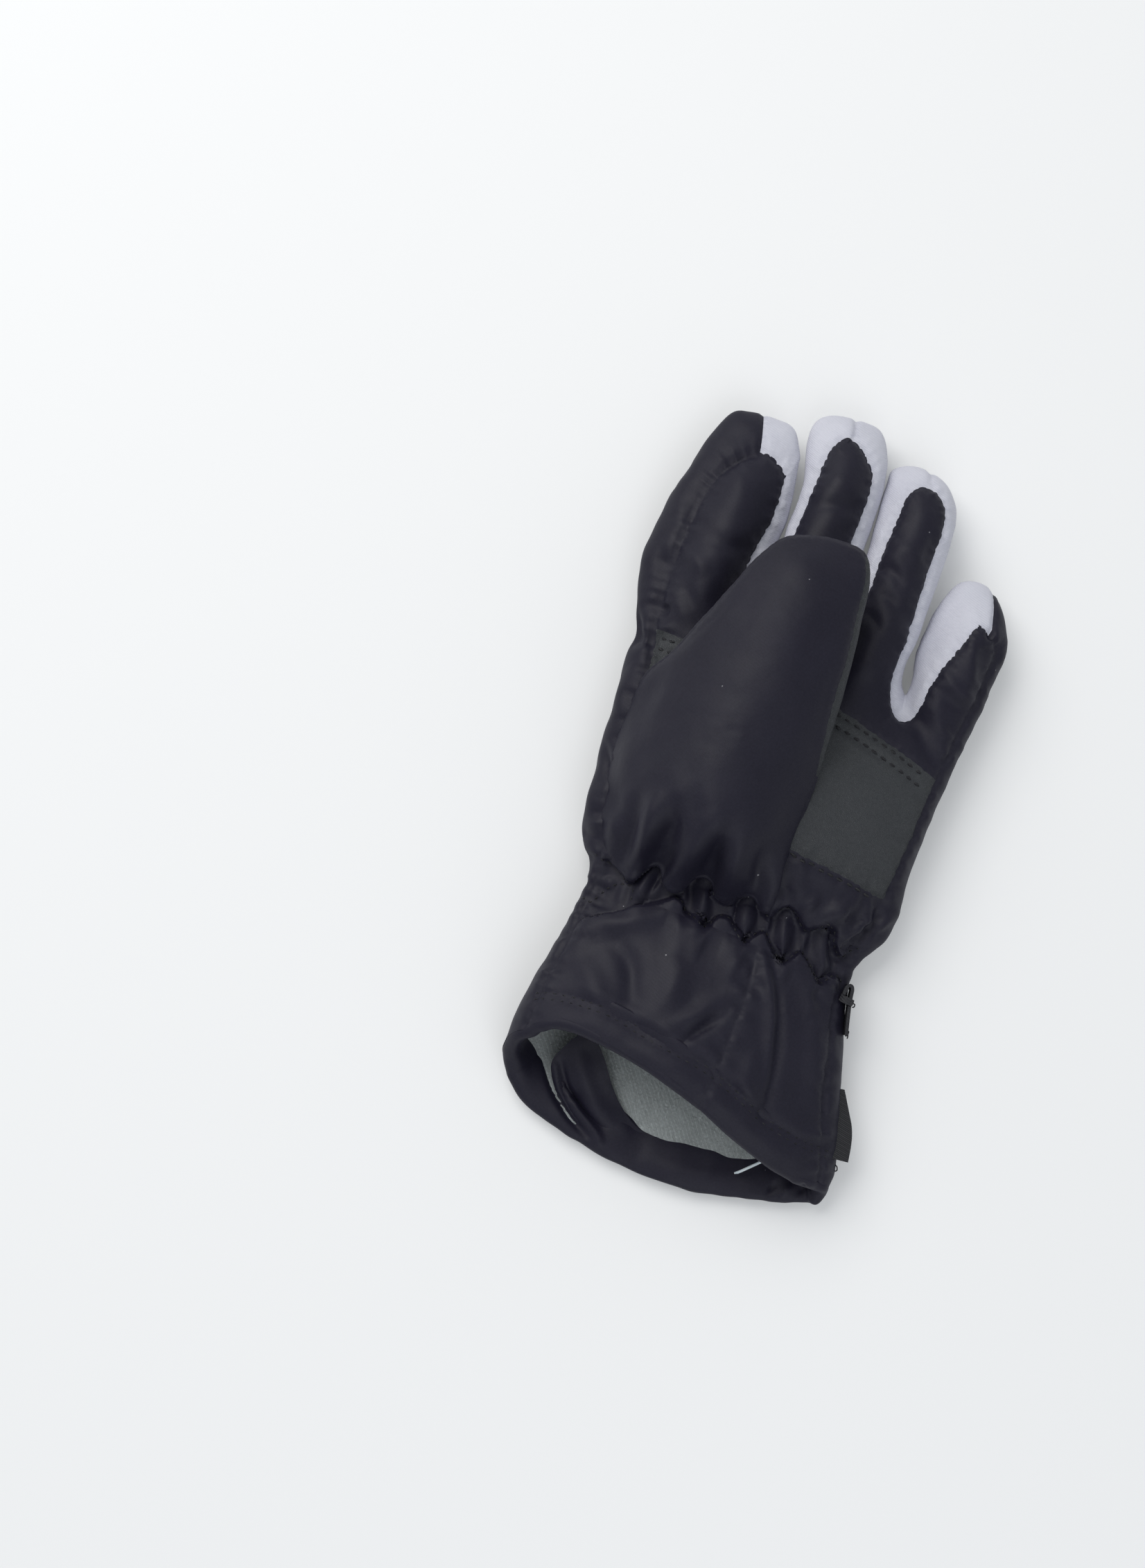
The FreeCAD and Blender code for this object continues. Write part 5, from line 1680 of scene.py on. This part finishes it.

# The facing is cut wider than the lining, so it stands up in one big fold at the back's left. The
# fold is a sheet of the same nylon, domed inside its outline and creased along its length. Its top
# reaches up under the rim over lining that lies in shade, so there the dark sheet is painted shade.
FOLD_AND_SHADE_OUTLINE = [
    (-30, -52, 7), (-28.5, -47, 8.5), (-26, -42.5, 9.5), (-22, -41, 9.5), (-17, -45.5, 8.5),
    (-12.5, -51.5, 6.5), (-7.5, -56.5, 5), (-2, -60, 4), (4, -62, 3.4), (0, -65, 3), (-7, -67, 3),
    (-14, -66, 3), (-21, -62.5, 3.2), (-26.5, -58, 4),
]
FOLD_DOME = 0.06
FOLD_FILL = 1.1


def closed_line(corners, samples, step, count):
    """Evenly spaced points on a smooth closed line through corners, by way of denser samples."""
    dense = smooth_line(np.vstack([corners[-2:], corners, corners[:3]]), samples)
    half = samples // 2
    start = int(np.argmin(np.linalg.norm(dense[:half] - corners[0], axis=1)))
    stop = half + int(np.argmin(np.linalg.norm(dense[half:] - corners[0], axis=1)))
    return smooth_line(dense[start : stop + 1 : step], count + 1)[:-1]


fold_sheet = Sheet()
rim = fold_sheet.add_points(closed_line(seen(FOLD_AND_SHADE_OUTLINE), 700, 4, 69))
for corners in filled(fold_sheet, rim, [], [(FOLD_FILL, -FAR, FAR)]):
    fold_sheet.add_face(facing_up(fold_sheet, corners), "fold")
fold_points = np.array(fold_sheet.points)
held = np.zeros(len(fold_points), bool)
held[rim] = True
source = np.full(len(fold_points), FOLD_DOME)
fold_points[:, 2] = solved_heights(fold_points, fold_sheet.faces, source, held)
fold_fine, fold_quads, _ = subdivided(fold_points, fold_sheet.faces, fold_sheet.panels)
fold_normals = point_normals(fold_fine, fold_quads)
folded(fold_fine, fold_normals, [
    ([(-29, -52), (-25.5, -57), (-19, -62.5), (-12, -66.5)], 1.0, 1.8),
    ([(-27.5, -51), (-23.5, -57), (-17, -62), (-10.5, -65.5)], 1.1, -1.6),
    ([(-25, -46), (-20, -53), (-14, -59), (-7, -63)], 2.6, 1.4),
])
crumpled(fold_fine, fold_normals, 8.0, 0.5, 6)
fold_normals = point_normals(fold_fine, fold_quads)
unworn = np.zeros(len(fold_fine))
# A real fold below, and at its top a dark sheet that stands in for painted shade under the rim.
piece = cloth_piece(
    "hem_facing_fold_and_shade", fold_fine, fold_normals, fold_quads, "shell_nylon", unworn
)
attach(piece, "hand")

# ------------------------------------------------------------------ the thumb
# One large drop of padded nylon with a second half of grip leather under it, folded over the palm.
# The two halves are sewn together round the edge, blown up like the hand, and gathered at the root,
# which is sewn into the palm.

THUMB_OUTLINE = [
    (-12.5, 7.6, 24.2), (-14, 5, 23.2), (-17, 4.2, 23), (-19, 5.6, 23.2), (-21, 9, 24.4),
    (-23, 9, 24.2), (-25, 7, 23), (-27.6, 2.8, 22), (-30, 3.4, 21.5), (-33, 4.6, 20.5),
    (-36.5, 6.6, 19), (-40.4, 12.5, 18), (-42.8, 18, 17.5), (-44.3, 24, 17.5), (-45.2, 31, 17),
    (-46, 40, 17), (-46, 50, 18), (-44, 57.5, 22), (-39.6, 65.5, 29), (-34.6, 78, 35.5),
    (-30.4, 90, 37.5), (-27, 99, 37.5), (-22, 106.3, 37.5), (-13, 110.4, 37.5), (-5, 111, 37.5),
    (0.5, 109.5, 37.5), (4.4, 102, 37.5), (6.4, 90, 37.5), (8.4, 76, 37), (9.2, 62, 35.5),
    (9.6, 50, 33), (10, 40, 31), (10.6, 28, 28.8), (11, 16, 26.2), (11.4, 8.6, 24), (9.8, 7.2, 23.6),
    (8, 8, 23.8), (6.5, 9.6, 25.2), (4.3, 10, 25.4), (1.8, 8.2, 24), (-0.6, 5.8, 23.2),
    (-3.4, 5.9, 23.2), (-5, 7, 23.6), (-6.4, 9.6, 25), (-8.4, 10.5, 25.2), (-10.6, 10, 25.2),
]
THUMB_STRIP_ROWS = 5
THUMB_DOME = 0.06
THUMB_UNDER_Z = 29.5
THUMB_SPARE, THUMB_ROOT_SPARE = 0.02, 0.05
THUMB_WADDING = (1.4, 4.2)
THUMB_LINING = (4.4, 5.2)
corners = seen(THUMB_OUTLINE)
thumb_columns = int(line_length(np.vstack([corners, corners[:1]])) / SPACING)
thumb_outer = closed_line(corners, 4000, 8, thumb_columns)
tangent = np.roll(thumb_outer, -1, axis=0) - np.roll(thumb_outer, 1, axis=0)
thumb_in = tangent[:, [1, 0, 2]] * [1, -1, 0]
thumb_in /= np.linalg.norm(thumb_in, axis=1)[:, None]
on_right = np.clip(thumb_outer[:, 0] / 8, 0, 1) * np.clip((thumb_outer[:, 1] - 45) / 20, 0, 1)
thumb_front = thumb_outer + thumb_in * (0.1 + 1.9 * on_right[:, None])
thumb_front[:, 2] += 4.5 * on_right - 1.5
at_root = np.clip((thumb_outer[:, 1:2] - 14) / 12, 0, 1)
thumb_back = thumb_outer + thumb_in * (0.3 + 2.3 * at_root)
under = np.minimum(thumb_outer[:, 2] - 1, THUMB_UNDER_Z)
under = np.maximum(under, thumb_outer[:, 2] - 6)
thumb_back[:, 2] = np.minimum(under, thumb_front[:, 2] - 3)
thumb = Sheet()
thumb_rows = []
bulge = 2 * thumb_outer - (thumb_front + thumb_back) / 2
bulge[:, 2] = (thumb_front[:, 2] + thumb_back[:, 2]) / 2
for t in np.linspace(0, 1, THUMB_STRIP_ROWS + 1):
    curve = thumb_front * (1 - t) ** 2 + bulge * 2 * t * (1 - t) + thumb_back * t**2
    thumb_rows.append(thumb.add_points(curve))
for upper, lower in zip(thumb_rows, thumb_rows[1:]):
    for column in range(thumb_columns):
        after = (column + 1) % thumb_columns
        panel = "thumb_back" if on_right[column] > 0.05 else "thumb_front"
        thumb.add_face((upper[column], upper[after], lower[after], lower[column]), panel)
for loop, panel in ((thumb_rows[0], "thumb_front"), (thumb_rows[-1], "thumb_back")):
    for corners in filled(thumb, loop, [], EVEN_NET):
        thumb.add_face(facing_up(thumb, corners, panel == "thumb_front"), panel)
thumb_points = np.array(thumb.points)
source = np.zeros(len(thumb_points))
for face, panel in zip(thumb.faces, thumb.panels):
    if panel == "thumb_front":
        source[list(face)] = THUMB_DOME
source *= 1 + 2.2 * np.exp(-(((thumb_points[:, 1] - 12) / 12) ** 2))
held = np.zeros(len(thumb_points), bool)
held[: thumb_columns * (THUMB_STRIP_ROWS + 1)] = True
flat_thumb = [face for face in thumb.faces if len(face) == 3]
thumb_points[:, 2] = solved_heights(thumb_points, flat_thumb, source, held)
thumb_pin = np.zeros(len(thumb_points))
thumb_pin[thumb_rows[0]] = 1
thumb_pin[thumb_rows[-1]] = 1
near_root = np.exp(-((thumb_points[:, 1] - 8) / 18) ** 2)
thumb_spare = THUMB_SPARE + THUMB_ROOT_SPARE * near_root
moved = blown(thumb_points, thumb.faces, thumb_pin, thumb_spare)
thumb_points = capped(thumb_points, moved, np.full(len(thumb_points), BLOWN_MOST))

thumb_fine, thumb_quads, thumb_owners = subdivided(thumb_points, thumb.faces, thumb.panels)
thumb_normals = point_normals(thumb_fine, thumb_quads)
THUMB_FOLDS = [
    ([(-24, 26), (-22.5, 18), (-22, 10)], 2.6, -2.4), ([(-8, 24), (-8.5, 17), (-8.4, 10.5)], 2.6, -2.2),
    ([(-29, 26), (-28, 15), (-27.6, 4)], 2.4, 1.7), ([(-14, 24), (-15, 14), (-16, 5)], 3.0, 1.8),
    ([(-3, 24), (-2.5, 15), (-2, 6)], 2.8, 1.6), ([(4, 24), (5, 16), (5, 10)], 2.2, -1.8),
    ([(8.5, 24), (9.5, 15), (9.8, 8)], 1.8, 1.2), ([(-34, 24), (-33, 14), (-32, 5)], 1.8, -1.5),
    ([(-38, 22), (-37, 14), (-35.5, 7)], 1.8, 1.0), ([(-19, 15), (-19.5, 10), (-20, 7)], 1.2, -0.8),
    ([(-41, 24), (-38, 19), (-35, 16)], 2.0, -0.9), ([(-43, 40), (-41, 31), (-38, 26)], 3.5, 0.8),
    ([(-40, 58), (-41, 50), (-40, 44)], 3.0, -0.7), ([(-14, 30), (-10, 24), (-9, 19)], 3.5, 0.8),
    ([(-22, 34), (-19, 27), (-16, 22)], 3.0, -0.6),
    ([(0, 92), (-3, 80), (-3, 68)], 4.5, -0.5), ([(-20, 96), (-14, 100), (-8, 101)], 4.0, 0.5),
]
folded(thumb_fine, thumb_normals, THUMB_FOLDS, 1.25)
thumb_normals = point_normals(thumb_fine, thumb_quads)
crumpled(thumb_fine, thumb_normals, 18.0, 0.9, 3)
crumpled(thumb_fine, thumb_normals, 7.0, 0.2, 4)
thumb_seam = thumb_points[thumb_rows[0] + thumb_rows[0][:1]]
sink(thumb_fine, thumb_normals, thumb_seam, 0.8, 0.5, 0.05)
thumb_nearness = seam_nearness(thumb_fine, [thumb_seam])
thumb_normals = point_normals(thumb_fine, thumb_quads)
for panel, slot, nodes in (
    ("thumb_front", "shell_nylon", ("thumb_front_panel", "thumb_base_panel")),
    ("thumb_back", "grip_patch", ("thumb_back_panel",)),
):
    faces = thumb_quads[thumb_owners == panel]
    piece = cloth_piece(f"{panel}_cloth", thumb_fine, thumb_normals, faces, slot, thumb_nearness)
    goes_with(piece, "thumb")
    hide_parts(*nodes)
thumb_tree = BVHTree.FromPolygons(thumb_fine.tolist(), thumb_quads.tolist())
thickness = [
    thumb_tree.ray_cast(Vector(point - normal * 0.3), Vector(-normal))[3] or 20
    for point, normal in zip(thumb_fine, thumb_normals)
]
room = np.clip((np.array(thickness) - 1.5) / 13, 0.03, 1)
first, second = neighbour_pairs([tuple(face) for face in thumb_quads.tolist()])
counts = np.bincount(np.concatenate([first, second]), minlength=len(thumb_fine))
for _ in range(6):
    room = np.minimum(room, neighbour_mean(room, first, second, counts))
for layer, slot, depths in (
    ("insulation", "wadding", THUMB_WADDING), ("lining", "hand_fleece", THUMB_LINING),
):
    piece = cloth_piece(
        f"thumb_{layer}_layer", thumb_fine, thumb_normals, thumb_quads, slot, thumb_nearness,
        *depths, room,
    )
    goes_with(piece, "thumb")
    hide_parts(f"thumb_{layer}", f"thumb_base_{layer}")

# ------------------------------------------------------------------ side loop and side label
# A flat tape is folded double at the little finger's side of the wrist and held by two bar tacks,
# with a small eye left open at its top. A bare woven label stands out of the cuff's side seam.

thread_material("webbing", (0.009, 0.009, 0.012), (0.028, 0.028, 0.034), 9000, 0.5)
thread_material("woven_label", (0.008, 0.008, 0.01), (0.022, 0.022, 0.026), 14000, 0.32)
TAPE_PROFILE = ((-1, -1), (-0.9, -1.0), (0, -1.1), (0.9, -1.0), (1, -1), (1, 1), (0.9, 1.0), (0, 1.1),
                (-0.9, 1.0), (-1, 1))

def tape(name, middle_line, across, thickness, slot):
    """A flat tape along a line: across is half its width, and its faces bulge a little."""
    rows = smooth_line(middle_line, 48)
    wide = smooth_line(across, 48)
    direction = np.gradient(rows, axis=0)
    out = np.cross(direction, wide)
    out /= np.linalg.norm(out, axis=1)[:, None]
    made = bmesh.new()
    tube(made, [
        [row + half * side + face_way * level * thickness / 2 for side, level in TAPE_PROFILE]
        for row, half, face_way in zip(rows, wide, out)
    ])
    return hand_piece(made, name, slot, smooth=False)


LOOP_LINE = [(38.1, -8, 12.5), (37.9, -5.4, 12.5), (38.1, -3.6, 12.5), (38.9, -3, 12.5),
             (39.6, -3.7, 12.5), (39.9, -5.2, 12.5), (40.3, -7.5, 12.5), (41.3, -11.5, 12.5),
             (42.5, -16, 12.5)]
LOOP_ACROSS = (0, 0, 2.5)
KEEPER_LINE = [(37.6, -6.8, 14.6), (38.8, -7, 15.5), (40.2, -7.1, 15.4), (40.95, -7.2, 14.4),
               (41, -7.3, 11.6)]
KEEPER_ACROSS = (0.1, 0.95, 0)
LABEL_LINE = [(45.2, -30.5, 11), (48.2, -36, 11), (50.7, -40.6, 11), (52.1, -44.3, 11),
              (53.2, -48.7, 11)]
LABEL_ACROSS = [(2.4, 0.4, -0.3), (2.9, 0.6, -0.5), (2.9, 0.5, -0.6), (2.8, 0.4, -0.6),
                (2.4, 0.3, -0.6)]
piece = tape("side_loop_tape", seen(LOOP_LINE), [LOOP_ACROSS] * 2, 0.9, "webbing")
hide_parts("side_loop")
tape("side_loop_keeper", seen(KEEPER_LINE), [KEEPER_ACROSS] * 2, 0.7, "webbing")
piece = tape("side_label_ribbon", seen(LABEL_LINE), LABEL_ACROSS, 0.8, "woven_label")
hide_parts("side_label")

# Bar tacks hold the keeper and the tape's lower end: a few tight stitches side by side.
TACKS = ((40.95, -7.2, 13.6), (42.75, -15.4, 12.5))
tacks = []
for x, y, z in TACKS:
    for step in np.linspace(-1.1, 1.1, 6):
        middle_y = y + step * 0.35
        bend = [(x - 0.25, middle_y - 0.5), (x + 0.35, middle_y), (x - 0.25, middle_y + 0.5)]
        tacks.append(seen([(*place, z + step) for place in bend]))


def thread_tube(made, points, width):
    """Adds a bent length of thread with rounded ends to a mesh that is being made."""
    rows = smooth_line(points, 14)
    way = np.gradient(rows, axis=0)
    way /= np.linalg.norm(way, axis=1)[:, None]
    side = np.cross(way, [0.3, 0.2, 0.93])
    side /= np.linalg.norm(side, axis=1)[:, None]
    over_it = np.cross(side, way)
    reach = np.full(len(rows), width / 2)
    reach[[0, -1]] /= 2
    tube(made, [
        [row + (aside * math.cos(a) + above * math.sin(a)) * size for a in ROUND]
        for row, aside, above, size in zip(rows, side, over_it, reach)
    ])


def threads_piece(name, lines, width, finish):
    """One piece made of several bent lengths of thread."""
    made = bmesh.new()
    for line in lines:
        thread_tube(made, line, width)
    hand_piece(made, name, finish)


threads_piece("side_loop_bar_tacks", tacks, 0.42, "thread")
THREAD_ENDS = [
    [(41, -7.4, 14), (41.8, -7.2, 14), (42, -7.9, 13.6), (41.5, -8.3, 13.2)],
    [(42.6, -15.6, 13), (43.2, -15.9, 13), (43.3, -16.8, 12.4)],
    [(52.2, -50, 10), (53.3, -50.6, 10), (53.6, -51.6, 9.4), (52.8, -52, 9)],
    [(12.7, -36.8, 25.6), (12.2, -38.2, 25.9), (13, -38.8, 25.7)],
]
threads_piece("thread_ends", [seen(line) for line in THREAD_ENDS], 0.36, "thread")

# ------------------------------------------------------------------ the tag's cut end
# A short stiff end of white nylon filament in the mouth of the cuff. It was drawn through the
# lining to hang a tag on, and cut off with a bend still in it.

FILAMENT_LINE = [(36.5, -53.5, 9), (34.5, -55.6, 9.5), (31.8, -58.4, 8.6), (28.6, -61.6, 7.8),
                 (27.6, -62.3, 7.6)]
filament, tree, _ = new_material(
    "tag_filament", Roughness=0.35, Specular_IOR_Level=0.5, Subsurface_Weight=0.2
)
tones = placed(tree, tone, Patch_Scale=400, Grain_Scale=2600)
color = ramp(tree, tones["Patches"], (0.62, 0.68, 0.7), (0.8, 0.83, 0.84))
dressed("tag_filament", filament, color, None, (tones["Grain"], 0.00003))
threads_piece("tag_filament_end", [seen(FILAMENT_LINE)], 0.75, "tag_filament")
